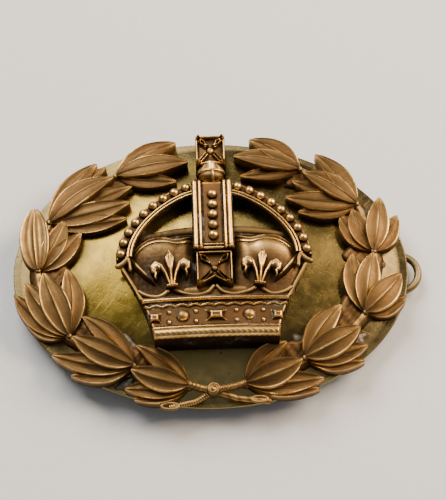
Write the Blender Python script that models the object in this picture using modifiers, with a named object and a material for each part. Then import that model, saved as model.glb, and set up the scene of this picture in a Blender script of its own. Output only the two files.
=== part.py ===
"""Oval cap badge: a struck laurel wreath and crown on a domed brass plate.

The badge lies on its back. +X runs along the plate toward the eye of the split
pin, +Y runs toward the cross on the crown and +Z comes out of the front. The
floor is at Z = 0, under the two wire lugs, and the origin is the middle of the
badge's outline at that height.
"""

import math

import bmesh
import bpy
from mathutils import Matrix, Vector

# Backing plate: an oval dome of sheet brass with a narrow flat rim.
PLATE_LENGTH = 0.0680
PLATE_WIDTH = 0.0500
SHEET = 0.0008
DOME_RISE = 0.0036
RIM_FLAT = 0.0014
PLATE_STEPS = 72
DOME_RINGS = 7

# Clearances: between fixed neighbours, and round the pin that slides. Raised work
# is built from inside the plate's sheet, a little deeper, and is then trimmed back.
GAP = 0.0003
PIN_PLAY = 0.0002
SUNK = 0.0006
WELD = 0.00001

# Split pin: half-round wire bent double, with a round eye at the right end.
PIN_WIRE = 0.0013
PIN_SPLIT = 0.00014
EYE_DIAMETER = 0.0080
EYE_REACH = 0.0025
PIN_TIP_INSET = 0.0035
PIN_NECK = 0.0040
EYE_STEPS = 36

# Lugs: loops of round copper wire on the back of the wreath.
LUG_WIRE = 0.0011
LUG_SPACING = 0.80 * PLATE_LENGTH
LUG_BEND = 0.0009

# Wreath: sprays of leaves set along an oval stem inside the plate's edge.
STEM_INSET_X = 0.0040
STEM_INSET_Y = 0.0030
STEM_WIRE = 0.0017
BINDING_WIRE = 0.0019
STALK_WIRE = 0.0018
KNOT_DIAMETER = 0.0026
KNOT_X = 0.0007
KNOT_DROP = 0.0006
STALK_LIFT = 0.0006
STALK_END_LIFT = 0.0008
LEFT_STALK = (-0.0084, -0.0023)
RIGHT_STALK = (0.0104, -0.0016)
LEAF_RELIEF = 0.0030
STEM_STEPS = 24
WEB_REACH = 0.0022
WEB_HEIGHT = 0.0009

# Leaf: its blunt root, how its width swells, its arch along and its fall to the side.
LEAF_ROOT = 0.07
LEAF_SWELL = 0.80
LEAF_ROOT_RISE = 0.45
LEAF_ARCH_START = 0.12
LEAF_ARCH_END = 0.88
LEAF_SIDE_FALL = 0.55
LEAF_SIDE_CURVE = 1.4

# Crown: widths across, stations up the badge and heights above the rim plane.
CROWN_X = 0.0005
BAND_WIDTH = 0.464 * PLATE_WIDTH
BAND_FOOT = -0.304 * PLATE_WIDTH
BAND_HEAD = -0.156 * PLATE_WIDTH
BAND_FLARE = 1.6
BAND_PANEL_DEPTH = 0.0004
FOOT_ROLL = 0.0017
FOOT_ROLL_RISE = 0.0008
FOOT_ROLL_SINK = 0.0006
HEAD_BEAD = 0.0009
HEAD_BEAD_DROP = 0.0004
HEAD_BEAD_SINK = 0.0003
RAIL_STEPS = 12
JEWEL_RISE = 0.0004
JEWEL_SINK = 0.0004
ROUND_JEWEL = 0.0021
ROUND_JEWEL_SHARES = (-0.46, 0.46)
OVAL_JEWEL_SQUASH = 0.55
OVAL_JEWELS = ((-0.86, 0.0019), (0.0, 0.0034), (0.86, 0.0019))
CROWN_WIDTH = 0.644 * PLATE_WIDTH
ARCH_FOOT = 0.012 * PLATE_WIDTH
ARCH_CROSSING = 0.298 * PLATE_WIDTH
ARCH_SHOULDER = 1.75
ARCH_SPRING = 0.95
ARCH_BAR = 0.0024
ARCH_SINK = 0.0006
ARCH_TANGENT = 0.02
CENTRE_ARCH_WIDTH = 0.140 * PLATE_WIDTH
CENTRE_ARCH_FOOT = 0.024 * PLATE_WIDTH
CENTRE_ARCH_TAPER = 0.06
CENTRE_ARCH_SINK = 0.0002
POST_WIDTH = 0.80 * CENTRE_ARCH_WIDTH
POST_SINK = 0.0006
RIM_BEAD = 0.0009
RIM_BEAD_SHARES = (-0.80, -0.46, 0.46, 0.80)
RIM_BEAD_INSET = 0.04
RIM_BEAD_STEPS = 5
CAP_HEAD = 0.108 * PLATE_WIDTH
CAP_LOBE = 0.196 * PLATE_WIDTH
CAP_SQUASH = 0.55
CAP_LIP = 0.0010
CROWN_HEIGHT = 0.0084
CROWN_BOW = 0.0012
CROWN_FALL = 0.0024
ORNAMENT = 0.0014
BAND_CROSS = 0.0058
BAND_CROSS_LIFT = 0.0012
CROSS_STEM_WIDTH = 0.0020
CROSS_STEM_LENGTH = 0.0030
ORNAMENT_SINK = 0.0008
LILY_HEIGHT = 0.0092
LILY_SHARES = (-0.62, 0.62)
BEAD = 0.0015
BEAD_SINK = 0.0005
BEADS_A_SIDE = 9
FIRST_BEAD = 0.3
PEARL = 0.0018
PEARL_SINK = 0.0002
PEARLS = 5
FIRST_PEARL = 0.14
PEARL_PITCH = 0.165
ORB_DIAMETER = 0.084 * PLATE_WIDTH
ORB_SEAT = 0.0004
ORB_SINK = 0.75
CROSS_SIZE = 0.096 * PLATE_WIDTH
CROSS_OVERLAP = 0.0003
CROSS_LIFT = 0.0006
CROSS_THICKNESS = 0.0018
CROSS_BOSS = 0.0014
CROSS_CORNER = 0.80
CROSS_THROAT = 0.16
STALK_WIDTH = 0.0022
STALK_LENGTH = 0.0030
STALK_THICKNESS = 0.8 * CROSS_THICKNESS
ORB_POST = 0.0018

# Sprays of each branch: the angle round the oval from the knot, in degrees, then
# its leaves as heading in degrees, length and width in fiftieths of the plate's
# width, and the share of the full relief.
LEAF_UNIT = PLATE_WIDTH / 50
LEFT_SPRAYS = (
    (8, ((165, 10.3, 3.9, 1.0), (147, 10.4, 3.2, 0.7), (181, 10.8, 3.4, 0.6), (193, 9.2, 2.6, 0.5))),
    (28, ((154, 11.4, 4.0, 1.0), (135, 12.2, 3.8, 0.7), (171, 13.8, 3.6, 0.6), (187, 10.4, 3.0, 0.5))),
    (54, ((113, 12.2, 4.6, 1.0), (93, 12.0, 3.8, 0.7), (129, 12.6, 4.0, 0.7), (143, 11.8, 3.4, 0.5))),
    (88, ((96, 11.6, 4.7, 1.0), (65, 10.4, 3.6, 0.7), (44, 9.8, 3.4, 0.5))),
    (113, ((38, 13.6, 4.4, 1.0), (54, 13.0, 4.0, 0.7), (13, 13.6, 3.8, 0.7), (1, 12.2, 2.8, 0.5))),
    (145, ((11, 12.6, 4.0, 1.0), (34, 12.2, 3.8, 0.7), (-8, 10.8, 2.8, 0.5))),
)
RIGHT_SPRAYS = (
    (12, ((23, 10.2, 4.2, 1.0), (46, 8.0, 3.4, 0.7), (6, 13.0, 3.8, 0.6), (-4, 12.2, 2.6, 0.5))),
    (34, ((31, 10.9, 4.2, 1.0), (56, 11.4, 4.2, 0.7), (14, 10.8, 3.6, 0.6), (0, 10.0, 2.8, 0.5))),
    (66, ((50, 9.8, 4.2, 1.0), (82, 11.0, 4.0, 0.8), (101, 10.6, 3.6, 0.6), (26, 8.2, 3.2, 0.5))),
    (98, ((83, 10.6, 4.0, 1.0), (60, 9.0, 3.6, 0.7), (114, 9.0, 3.8, 0.7), (131, 9.0, 3.0, 0.5))),
    (122, ((147, 11.0, 4.4, 1.0), (127, 11.6, 3.8, 0.7), (177, 12.2, 3.8, 0.7), (191, 10.4, 2.8, 0.5))),
    (148, ((169, 11.8, 4.2, 1.0), (143, 10.8, 4.2, 0.7), (189, 10.4, 2.8, 0.5))),
)

# What follows from those sizes.
HALF_LENGTH = PLATE_LENGTH / 2
HALF_WIDTH = PLATE_WIDTH / 2
PIN_Z = LUG_WIRE + PIN_PLAY + PIN_WIRE / 2
RIM_Z = PIN_Z + PIN_WIRE / 2 + PIN_PLAY
LEG_OFFSET = (PIN_WIRE + PIN_SPLIT) / 2
LUG_LEG_Y = LEG_OFFSET + PIN_WIRE / 2 + PIN_PLAY + LUG_WIRE / 2
EYE_END = HALF_LENGTH + EYE_REACH
BADGE_X = -EYE_REACH / 2
SHARP_ANGLE = math.radians(35)


def clear_scene():
    """Remove every object that the new file opened with."""
    for item in list(bpy.data.objects):
        bpy.data.objects.remove(item, do_unlink=True)


def new_collection(name):
    """Return a collection that is linked to the scene."""
    collection = bpy.data.collections.new(name)
    bpy.context.scene.collection.children.link(collection)
    return collection


def metal(name, colour, roughness):
    """Return a bare metal with one colour and one roughness."""
    material = bpy.data.materials.new(name)
    material.use_nodes = True
    shader = material.node_tree.nodes["Principled BSDF"]
    shader.inputs["Base Color"].default_value = (*colour, 1.0)
    shader.inputs["Metallic"].default_value = 1.0
    shader.inputs["Roughness"].default_value = roughness
    return material


def dome_height(rho):
    """Height of the plate's top above the rim plane at a share of its radius."""
    dome_edge = 1.0 - RIM_FLAT / HALF_LENGTH
    return SHEET + DOME_RISE * max(0.0, 1.0 - (rho / dome_edge) ** 2)


def plate_top(x, y):
    """Height of the plate's front at one place."""
    return RIM_Z + dome_height(math.hypot(x / HALF_LENGTH, y / HALF_WIDTH))


def crown_face(x, y):
    """Height of the crown's face: bowed across it and falling toward the orb."""
    across = (x - CROWN_X) / (CROWN_WIDTH / 2)
    upward = max(0.0, y - ARCH_FOOT) / (ARCH_CROSSING - ARCH_FOOT)
    return RIM_Z + CROWN_HEIGHT - CROWN_BOW * across ** 2 - CROWN_FALL * upward


def stem_point(angle, side):
    """Place on the stem's oval, at an angle in degrees from the knot."""
    turn = math.radians(angle)
    x = side * (HALF_LENGTH - STEM_INSET_X) * math.sin(turn)
    y = -(HALF_WIDTH - STEM_INSET_Y) * math.cos(turn)
    return x, y


def finish_mesh(name, shape):
    """Turn a bmesh into mesh data with outward faces."""
    bmesh.ops.recalc_face_normals(shape, faces=shape.faces)
    if shape.calc_volume(signed=True) < 0.0:
        bmesh.ops.reverse_faces(shape, faces=shape.faces)
    mesh = bpy.data.meshes.new(name)
    shape.to_mesh(mesh)
    shape.free()
    return mesh


def block(cuts_long, cuts_across, place):
    """Return a block cut into strips, with each corner moved to place(u, v, w).

    u runs 0 to 1 along it, v runs -1 to 1 across it and w is 0 at its foot and 1
    at its face.
    """
    shape = bmesh.new()
    bmesh.ops.create_cube(shape, size=1.0)
    for axis, cuts in ((0, cuts_long), (1, cuts_across)):
        edges = [e for e in shape.edges if abs(e.verts[0].co[axis] - e.verts[1].co[axis]) > 0.5]
        if cuts:
            bmesh.ops.subdivide_edges(shape, edges=edges, cuts=cuts, use_grid_fill=True)
    for vert in shape.verts:
        u, v, w = vert.co
        vert.co = place(u + 0.5, 2.0 * v, w + 0.5)
    return finish_mesh("block", shape)


def ball(centre, diameter, squash=1.0, segments=10):
    """Return a ball, flattened along Z by squash."""
    shape = bmesh.new()
    spot = Matrix.Translation(centre) @ Matrix.Diagonal((1.0, 1.0, squash, 1.0))
    bmesh.ops.create_uvsphere(
        shape, u_segments=segments, v_segments=segments // 2 + 1, radius=diameter / 2, matrix=spot
    )
    return finish_mesh("ball", shape)


def curve_mesh(curve):
    """Return the closed mesh of a curve and remove the curve."""
    guide = bpy.data.objects.new("guide", curve)
    bpy.context.scene.collection.objects.link(guide)
    evaluated = guide.evaluated_get(bpy.context.evaluated_depsgraph_get())
    mesh = bpy.data.meshes.new_from_object(evaluated)
    bpy.data.objects.remove(guide, do_unlink=True)
    shape = bmesh.new()
    shape.from_mesh(mesh)
    bmesh.ops.remove_doubles(shape, verts=shape.verts, dist=WELD)
    return finish_mesh("swept", shape)


def wire(points, diameter):
    """Return a round wire through a list of points, with flat ends."""
    curve = bpy.data.curves.new("wire", "CURVE")
    curve.dimensions = "3D"
    curve.bevel_depth = diameter / 2
    curve.bevel_resolution = 2
    curve.use_fill_caps = True
    spline = curve.splines.new("POLY")
    spline.points.add(len(points) - 1)
    for knot, point in zip(spline.points, points):
        knot.co = (*point, 1.0)
    return curve_mesh(curve)


def flat_shape(outline, thickness, place):
    """Return a flat outline given a thickness and moved by a matrix."""
    curve = bpy.data.curves.new("outline", "CURVE")
    curve.dimensions = "2D"
    curve.fill_mode = "BOTH"
    curve.extrude = thickness / 2
    spline = curve.splines.new("POLY")
    spline.points.add(len(outline) - 1)
    spline.use_cyclic_u = True
    for knot, point in zip(spline.points, outline):
        knot.co = (*point, 0.0, 1.0)
    mesh = curve_mesh(curve)
    mesh.transform(place)
    return mesh


def turned_oval(name, profile):
    """Return an object: a profile turned about Z and narrowed to the plate's oval."""
    mesh = bpy.data.meshes.new(name)
    edges = [(i, i + 1) for i in range(len(profile) - 1)]
    mesh.from_pydata([(r, 0.0, z) for r, z in profile], edges, [])
    item = bpy.data.objects.new(name, mesh)
    bpy.context.scene.collection.objects.link(item)
    screw = item.modifiers.new("turn", "SCREW")
    screw.axis = "Z"
    screw.steps = PLATE_STEPS
    screw.render_steps = PLATE_STEPS
    screw.use_merge_vertices = True
    screw.merge_threshold = WELD
    evaluated = item.evaluated_get(bpy.context.evaluated_depsgraph_get())
    turned = bpy.data.meshes.new_from_object(evaluated)
    bpy.data.objects.remove(item, do_unlink=True)
    turned.transform(Matrix.Diagonal((1.0, HALF_WIDTH / HALF_LENGTH, 1.0, 1.0)))
    return bpy.data.objects.new(name, turned)


def dome_profile(lift):
    """Profile of the plate's top, raised by lift, from the axis to the rim."""
    dome_edge = 1.0 - RIM_FLAT / HALF_LENGTH
    shares = [dome_edge * i / DOME_RINGS for i in range(DOME_RINGS + 1)] + [1.0]
    return [(HALF_LENGTH * share, RIM_Z + dome_height(share) + lift) for share in shares]


def joined(name, meshes):
    """Return one object that holds every mesh in a list."""
    shape = bmesh.new()
    for mesh in meshes:
        shape.from_mesh(mesh)
        bpy.data.meshes.remove(mesh)
    mesh = bpy.data.meshes.new(name)
    shape.to_mesh(mesh)
    shape.free()
    return bpy.data.objects.new(name, mesh)


def add_part(item, material, collection, frame):
    """Put a finished part in its collection, with its metal, under the frame."""
    collection.objects.link(item)
    item.parent = frame
    item.data.materials.clear()
    item.data.materials.append(material)
    item.data.shade_smooth()
    item.data.set_sharp_from_angle(angle=SHARP_ANGLE)


def add_cutter(item, collection, frame):
    """Put a cutter in the cutters' collection, hidden from renders."""
    collection.objects.link(item)
    item.parent = frame
    item.hide_render = True
    item.display_type = "WIRE"


def cut(item, cutter):
    """Merge a part's overlapping shapes into one body and cut the cutter away."""
    trim = item.modifiers.new("cut", "BOOLEAN")
    trim.operation = "DIFFERENCE"
    trim.solver = "EXACT"
    trim.use_self = True
    trim.object = cutter


def build_plate():
    """The plate: a domed top, a flat rim and an underside one sheet below it."""
    top = dome_profile(0.0)
    outer_z = top[-1][1]
    edge = SHEET / 4
    rim = [(HALF_LENGTH - edge, outer_z), (HALF_LENGTH, outer_z - edge)]
    rim += [(HALF_LENGTH, RIM_Z + edge), (HALF_LENGTH - edge, RIM_Z)]
    under = [(r, z - SHEET) for r, z in reversed(top[:-1])]
    return turned_oval("backing_plate", top[:-1] + rim + under)


def build_slot(side):
    """Cutter for the slot that one lug passes through."""
    half_x = LUG_WIRE / 2 + GAP
    half_y = LUG_LEG_Y + LUG_WIRE / 2 + GAP
    shape = bmesh.new()
    size = Matrix.Diagonal((2 * half_x, 2 * half_y, 4 * DOME_RISE, 1.0))
    bmesh.ops.create_cube(shape, size=1.0, matrix=size)
    item = bpy.data.objects.new("slot_cutter", finish_mesh("slot_cutter", shape))
    item.location = (side * LUG_SPACING / 2, 0.0, RIM_Z + DOME_RISE / 2)
    return item


def build_dome_clearance():
    """Cutter with the shape of the plate's top, one gap above it."""
    top = dome_profile(GAP)
    skirt = HALF_LENGTH + PLATE_LENGTH / 4
    floor = -PLATE_LENGTH / 4
    base = [(skirt, top[-1][1]), (skirt, floor), (0.0, floor)]
    return turned_oval("dome_clearance", top + base)


def leaf(base, heading, length, width, relief):
    """One laurel leaf: pointed at both ends and ridged along its midrib."""
    ahead = Vector((math.cos(math.radians(heading)), math.sin(math.radians(heading))))
    aside = Vector((-ahead.y, ahead.x))

    def place(u, v, w):
        swell = math.sin(math.pi * u ** LEAF_SWELL) ** LEAF_SWELL
        half = width / 2 * (LEAF_ROOT + (1.0 - LEAF_ROOT) * swell)
        spot = Vector(base) + ahead * length * u + aside * half * v
        if w < 0.5:
            return (*spot, plate_top(*spot) - SUNK)
        arch = math.sin(math.pi * (LEAF_ARCH_START + (LEAF_ARCH_END - LEAF_ARCH_START) * u))
        rise = relief * (LEAF_ROOT_RISE + (1.0 - LEAF_ROOT_RISE) * arch)
        return (*spot, plate_top(*spot) + rise * (1.0 - LEAF_SIDE_FALL * abs(v) ** LEAF_SIDE_CURVE))

    return block(5, 1, place)


def lug_web(side):
    """The low web between two sprays that a lug is brazed under."""
    inner = LUG_SPACING / 2 - WEB_REACH
    outer = HALF_LENGTH - STEM_INSET_X

    def place(u, v, w):
        x = side * (inner + (outer - inner) * u)
        y = v * (LUG_LEG_Y + LUG_WIRE)
        return (x, y, plate_top(x, y) + WEB_HEIGHT if w > 0.5 else plate_top(x, y) - SUNK)

    return block(2, 1, place)


def build_branch(name, side, sprays):
    """One branch of the wreath: a stem round the oval with its sprays of leaves."""
    first, last = sprays[0][0], sprays[-1][0]
    path = []
    for i in range(STEM_STEPS + 1):
        x, y = stem_point(first + (last - first) * i / STEM_STEPS, side)
        path.append((x, y, plate_top(x, y) + STEM_WIRE / 2))
    shapes = [wire(path, STEM_WIRE), lug_web(side)]
    for angle, leaves in sprays:
        base = stem_point(angle, side)
        for heading, length, width, share in leaves:
            size = (length * LEAF_UNIT, width * LEAF_UNIT, LEAF_RELIEF * share)
            shapes.append(leaf(base, heading, *size))
    return joined(name, shapes)


def build_tie():
    """The tie: a knot on the bound stems and two cut stalks below it."""
    knot_y = -(HALF_WIDTH - STEM_INSET_Y) - KNOT_DROP
    left = Vector(stem_point(LEFT_SPRAYS[0][0], -1.0))
    right = Vector(stem_point(RIGHT_SPRAYS[0][0], 1.0))
    knot = Vector((KNOT_X, knot_y))
    ends = []
    for end in (left, right):
        reach = (end - knot).length - STEM_WIRE / 2 - GAP
        ends.append(knot + (end - knot).normalized() * reach)
    stalks = [knot + Vector(LEFT_STALK), knot + Vector(RIGHT_STALK)]

    def raised(spot, lift):
        return (*spot, plate_top(*spot) + lift)

    shapes = [ball(raised(knot, KNOT_DIAMETER / 2), KNOT_DIAMETER)]
    for end in ends:
        shapes.append(wire([raised(knot, BINDING_WIRE / 2), raised(end, BINDING_WIRE / 2)], BINDING_WIRE))
    for end in stalks:
        middle = (knot + end) / 2
        route = [raised(knot, STALK_LIFT), raised(middle, STALK_LIFT), raised(end, STALK_END_LIFT)]
        shapes.append(wire(route, STALK_WIRE))
    return joined("stem_tie", shapes)


def crown_half_width(y):
    """Half width of the crown's wall: the band flares up to the arches' feet."""
    share = min(1.0, max(0.0, (y - BAND_FOOT) / (ARCH_FOOT - BAND_FOOT)))
    foot = BAND_WIDTH / 2 - ARCH_BAR / 4
    return foot + (CROWN_WIDTH / 2 - ARCH_BAR / 2 - foot) * share ** BAND_FLARE


def wall_block(y_low, y_high, inset, depth):
    """A block of the crown that follows its flared outline and its bowed face."""
    def place(u, v, w):
        y = y_low + (y_high - y_low) * (v + 1.0) / 2.0
        x = CROWN_X + (2.0 * u - 1.0) * (crown_half_width(y) - inset)
        z = crown_face(x, y) - depth if w > 0.5 else plate_top(x, y) - SUNK
        return (x, y, z)

    return block(11, 3, place)


def rail(y, sink, diameter):
    """A moulding across the crown, its middle sunk below the face."""
    half = crown_half_width(y)
    points = []
    for i in range(RAIL_STEPS + 1):
        x = CROWN_X + half * (2 * i / RAIL_STEPS - 1.0)
        points.append((x, y, crown_face(x, y) - sink))
    return wire(points, diameter)


def ornament(outline, x, y):
    """A flat ornament standing on the band, in front of the cap."""
    centre = Matrix.Translation((x, y, crown_face(x, y) - ORNAMENT / 2))
    return flat_shape(outline, ORNAMENT, centre)


def cross_outline(size):
    """Outline of a cross whose four arms widen to its corners."""
    tip = size / 2
    corner = CROSS_CORNER * tip
    throat = CROSS_THROAT * tip
    arm = [(throat, throat), (corner, tip), (-corner, tip)]
    outline = []
    for quarter in range(4):
        turn = Matrix.Rotation(quarter * math.pi / 2, 2)
        outline += [tuple(turn @ Vector(point)) for point in arm]
    return outline


def fleur_outline(height):
    """Outline of a fleur-de-lis: a pointed petal between two curled ones."""
    half = [
        (0.00, 1.00), (0.13, 0.72), (0.11, 0.45), (0.16, 0.36), (0.30, 0.66), (0.46, 0.62),
        (0.50, 0.42), (0.38, 0.44), (0.20, 0.10), (0.20, 0.00),
    ]
    left = [(-x, y) for x, y in reversed(half[1:])]
    return [(height * x, height * y) for x, y in half + left]


def build_band():
    """The crown's band: mouldings, jewels, and the cross and lilies above it."""
    shapes = [wall_block(BAND_FOOT, BAND_HEAD, 0.0, BAND_PANEL_DEPTH)]
    shapes.append(rail(BAND_FOOT + FOOT_ROLL_RISE, FOOT_ROLL_SINK, FOOT_ROLL))
    shapes.append(rail(BAND_HEAD - HEAD_BEAD_DROP, HEAD_BEAD_SINK, HEAD_BEAD))
    jewel_y = (BAND_FOOT + BAND_HEAD) / 2 + JEWEL_RISE
    for share in ROUND_JEWEL_SHARES:
        x = CROWN_X + share * BAND_WIDTH / 2
        shapes.append(ball((x, jewel_y, crown_face(x, jewel_y) - JEWEL_SINK), ROUND_JEWEL))
    for share, length in OVAL_JEWELS:
        x = CROWN_X + share * BAND_WIDTH / 2
        spot = (x, jewel_y, crown_face(x, jewel_y) - JEWEL_SINK)
        shapes.append(ball(spot, length, OVAL_JEWEL_SQUASH))
    base = BAND_HEAD - ORNAMENT_SINK
    cross_y = BAND_HEAD + BAND_CROSS / 2 + BAND_CROSS_LIFT
    shapes.append(ornament(cross_outline(BAND_CROSS), CROWN_X, cross_y))
    half = CROSS_STEM_WIDTH / 2
    stem = [(-half, 0.0), (half, 0.0), (half, CROSS_STEM_LENGTH), (-half, CROSS_STEM_LENGTH)]
    shapes.append(ornament(stem, CROWN_X, base))
    for share in LILY_SHARES:
        shapes.append(ornament(fleur_outline(LILY_HEIGHT), CROWN_X + share * BAND_WIDTH / 2, base))
    return joined("crown_band", shapes)


def build_cap():
    """The cap inside the crown: a low body with two full lobes."""
    depth = ORNAMENT + GAP
    body_head = BAND_HEAD + GAP
    shapes = [wall_block(body_head, ARCH_FOOT + CAP_LIP, ARCH_BAR / 4, depth + CAP_LIP)]
    radius = CAP_LOBE / 2
    lobe_y = CAP_HEAD - radius
    for side in (-1.0, 1.0):
        x = CROWN_X + side * (CENTRE_ARCH_WIDTH / 2 + GAP + radius)
        top = crown_face(x, ARCH_FOOT) - depth
        shapes.append(ball((x, lobe_y, top - radius * CAP_SQUASH), CAP_LOBE, CAP_SQUASH, 20))
    return joined("crown_cap", shapes)


def arch_path(u, side):
    """Middle line of a side arch, from its foot to the crossing."""
    turn = math.pi / 2 * u
    reach = CROWN_WIDTH / 2 - CENTRE_ARCH_WIDTH / 2 - GAP
    x = CROWN_X + side * (CENTRE_ARCH_WIDTH / 2 + GAP + reach * math.cos(turn) ** ARCH_SHOULDER)
    y = ARCH_FOOT + (ARCH_CROSSING - ARCH_FOOT) * math.sin(turn) ** ARCH_SPRING
    return Vector((x, y))


def build_side_arch(name, side):
    """A side arch of the crown: a curved bar with a row of beads along it."""
    def place(u, v, w):
        centre = arch_path(u, side)
        behind = arch_path(max(0.0, u - ARCH_TANGENT), side)
        step = arch_path(min(1.0, u + ARCH_TANGENT), side) - behind
        aside = Vector((-step.y, step.x)).normalized()
        spot = centre + aside * (ARCH_BAR / 2) * v
        if u > 0.99:
            spot.x = centre.x
        z = crown_face(*centre) - ARCH_SINK if w > 0.5 else plate_top(*spot) - SUNK
        return (*spot, z)

    shapes = [block(13, 0, place)]
    for i in range(BEADS_A_SIDE):
        spot = arch_path((i + FIRST_BEAD) / BEADS_A_SIDE, side)
        shapes.append(ball((*spot, crown_face(*spot) - BEAD_SINK), BEAD, segments=8))
    return joined(name, shapes)


def build_centre_arch():
    """The front arch: a bar with a raised rim each side and a row of pearls."""
    length = ARCH_CROSSING - CENTRE_ARCH_FOOT
    post_foot = CAP_HEAD + 4 * GAP

    def bar(u, v, w):
        y = CENTRE_ARCH_FOOT + length * u
        x = CROWN_X + v * CENTRE_ARCH_WIDTH / 2 * (1.0 - CENTRE_ARCH_TAPER * u)
        z = crown_face(x, y) - CENTRE_ARCH_SINK
        return (x, y, z if w > 0.5 else z - ORNAMENT)

    def post(u, v, w):
        y = post_foot + (ARCH_CROSSING - post_foot) * u
        x = CROWN_X + v * POST_WIDTH / 2
        z = crown_face(x, y) - POST_SINK if w > 0.5 else plate_top(x, y) - SUNK
        return (x, y, z)

    shapes = [block(4, 0, bar), block(3, 0, post)]
    for share in RIM_BEAD_SHARES:
        route = []
        for i in range(RIM_BEAD_STEPS + 1):
            climb = i / RIM_BEAD_STEPS
            y = CENTRE_ARCH_FOOT + length * (RIM_BEAD_INSET + (1.0 - 2 * RIM_BEAD_INSET) * climb)
            x = CROWN_X + share * CENTRE_ARCH_WIDTH / 2 * (1.0 - CENTRE_ARCH_TAPER * climb)
            route.append((x, y, crown_face(x, y)))
        shapes.append(wire(route, RIM_BEAD))
    for i in range(PEARLS):
        y = CENTRE_ARCH_FOOT + length * (FIRST_PEARL + PEARL_PITCH * i)
        shapes.append(ball((CROWN_X, y, crown_face(CROWN_X, y) - PEARL_SINK), PEARL))
    return joined("crown_arch_centre", shapes)


def build_orb():
    """The orb over the crossing of the arches, with its cross on top."""
    radius = ORB_DIAMETER / 2
    orb_y = ARCH_CROSSING + ORB_SEAT + radius
    orb_z = crown_face(CROWN_X, ARCH_CROSSING) - radius * ORB_SINK
    cross_y = orb_y + radius + CROSS_SIZE / 2 - CROSS_OVERLAP
    cross_z = orb_z + CROSS_LIFT
    spot = Matrix.Translation((CROWN_X, cross_y, cross_z))
    half = STALK_WIDTH / 2
    stalk = [(-half, -STALK_LENGTH), (half, -STALK_LENGTH), (half, 0.0), (-half, 0.0)]
    shapes = [ball((CROWN_X, orb_y, orb_z), ORB_DIAMETER, segments=16)]
    shapes.append(flat_shape(cross_outline(CROSS_SIZE), CROSS_THICKNESS, spot))
    shapes.append(flat_shape(stalk, STALK_THICKNESS, spot))
    boss_z = cross_z + CROSS_THICKNESS / 2
    shapes.append(ball((CROWN_X, cross_y, boss_z), CROSS_BOSS, segments=8))
    foot_z = plate_top(CROWN_X, cross_y) - SUNK
    post = Matrix.Translation((CROWN_X, cross_y, (cross_z + foot_z) / 2))
    side = ORB_POST / 2
    square = [(-side, -side), (side, -side), (side, side), (-side, side)]
    shapes.append(flat_shape(square, cross_z - foot_z, post))
    return joined("orb_and_cross", shapes)


def build_lug(name, side):
    """A wire loop: two legs up through the plate's slot, round under the pin."""
    x = side * LUG_SPACING / 2
    leg_y = LUG_LEG_Y
    head = plate_top(x, leg_y)
    low = LUG_WIRE / 2
    route = [(x, -leg_y, head), (x, -leg_y, low + LUG_BEND)]
    for i in range(1, 4):
        turn = math.pi / 2 * i / 4
        bend_y = -leg_y + LUG_BEND * (1 - math.cos(turn))
        route.append((x, bend_y, low + LUG_BEND * (1 - math.sin(turn))))
    route.append((x, -leg_y + LUG_BEND, low))
    route += [(px, -py, pz) for px, py, pz in reversed(route)]
    return joined(name, [wire(route, LUG_WIRE)])


def build_pin():
    """The split pin: two legs side by side that part into the round eye."""
    radius = (EYE_DIAMETER - PIN_WIRE) / 2
    eye_x = EYE_END - EYE_DIAMETER / 2
    tip = -HALF_LENGTH + PIN_TIP_INSET
    start = math.pi - math.asin(LEG_OFFSET / radius)
    neck = eye_x + radius * math.cos(start)
    turns = [start - 2 * start * i / EYE_STEPS for i in range(EYE_STEPS + 1)]
    round_eye = [(eye_x + radius * math.cos(t), radius * math.sin(t), PIN_Z) for t in turns]
    legs = [(tip, LEG_OFFSET, PIN_Z), (neck - PIN_NECK, LEG_OFFSET, PIN_Z)]
    route = legs + round_eye + [(x, -y, z) for x, y, z in reversed(legs)]
    return joined("split_pin", [wire(route, PIN_WIRE)])


def main():
    clear_scene()
    parts = new_collection("cap_badge")
    cutters = new_collection("cutters")
    frame = bpy.data.objects.new("badge_frame", None)
    frame.location = (BADGE_X, 0.0, 0.0)
    parts.objects.link(frame)

    sheet_brass = metal("sheet_brass", (0.55, 0.42, 0.17), 0.35)
    gilding_metal = metal("gilding_metal", (0.46, 0.29, 0.15), 0.38)
    crown_metal = metal("crown_gilding_metal", (0.50, 0.32, 0.17), 0.34)
    copper_wire = metal("copper_wire", (0.55, 0.27, 0.16), 0.45)
    brass_wire = metal("brass_wire", (0.60, 0.50, 0.28), 0.40)

    clearance = build_dome_clearance()
    add_cutter(clearance, cutters, frame)

    plate = build_plate()
    add_part(plate, sheet_brass, parts, frame)
    for side in (-1.0, 1.0):
        slot = build_slot(side)
        add_cutter(slot, cutters, frame)
        opening = plate.modifiers.new("slot", "BOOLEAN")
        opening.operation = "DIFFERENCE"
        opening.solver = "EXACT"
        opening.object = slot

    wreath = [
        build_branch("laurel_branch_left", -1.0, LEFT_SPRAYS),
        build_branch("laurel_branch_right", 1.0, RIGHT_SPRAYS),
        build_tie(),
    ]
    for item in wreath:
        add_part(item, gilding_metal, parts, frame)
        cut(item, clearance)

    crown = [
        build_band(),
        build_cap(),
        build_side_arch("crown_arch_left", -1.0),
        build_side_arch("crown_arch_right", 1.0),
        build_centre_arch(),
        build_orb(),
    ]
    for item in crown:
        add_part(item, crown_metal, parts, frame)
        cut(item, clearance)

    add_part(build_lug("lug_left", -1.0), copper_wire, parts, frame)
    add_part(build_lug("lug_right", 1.0), copper_wire, parts, frame)
    add_part(build_pin(), brass_wire, parts, frame)


main()
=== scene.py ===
"""Oval cap badge in full finish: a struck crown and laurel wreath on a domed plate.

Every mesh is worked out in millimetres from the middle of the plate, with z = 0 at
the underside of the plate's rim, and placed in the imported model's frame at the end.
"""

import math

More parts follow.
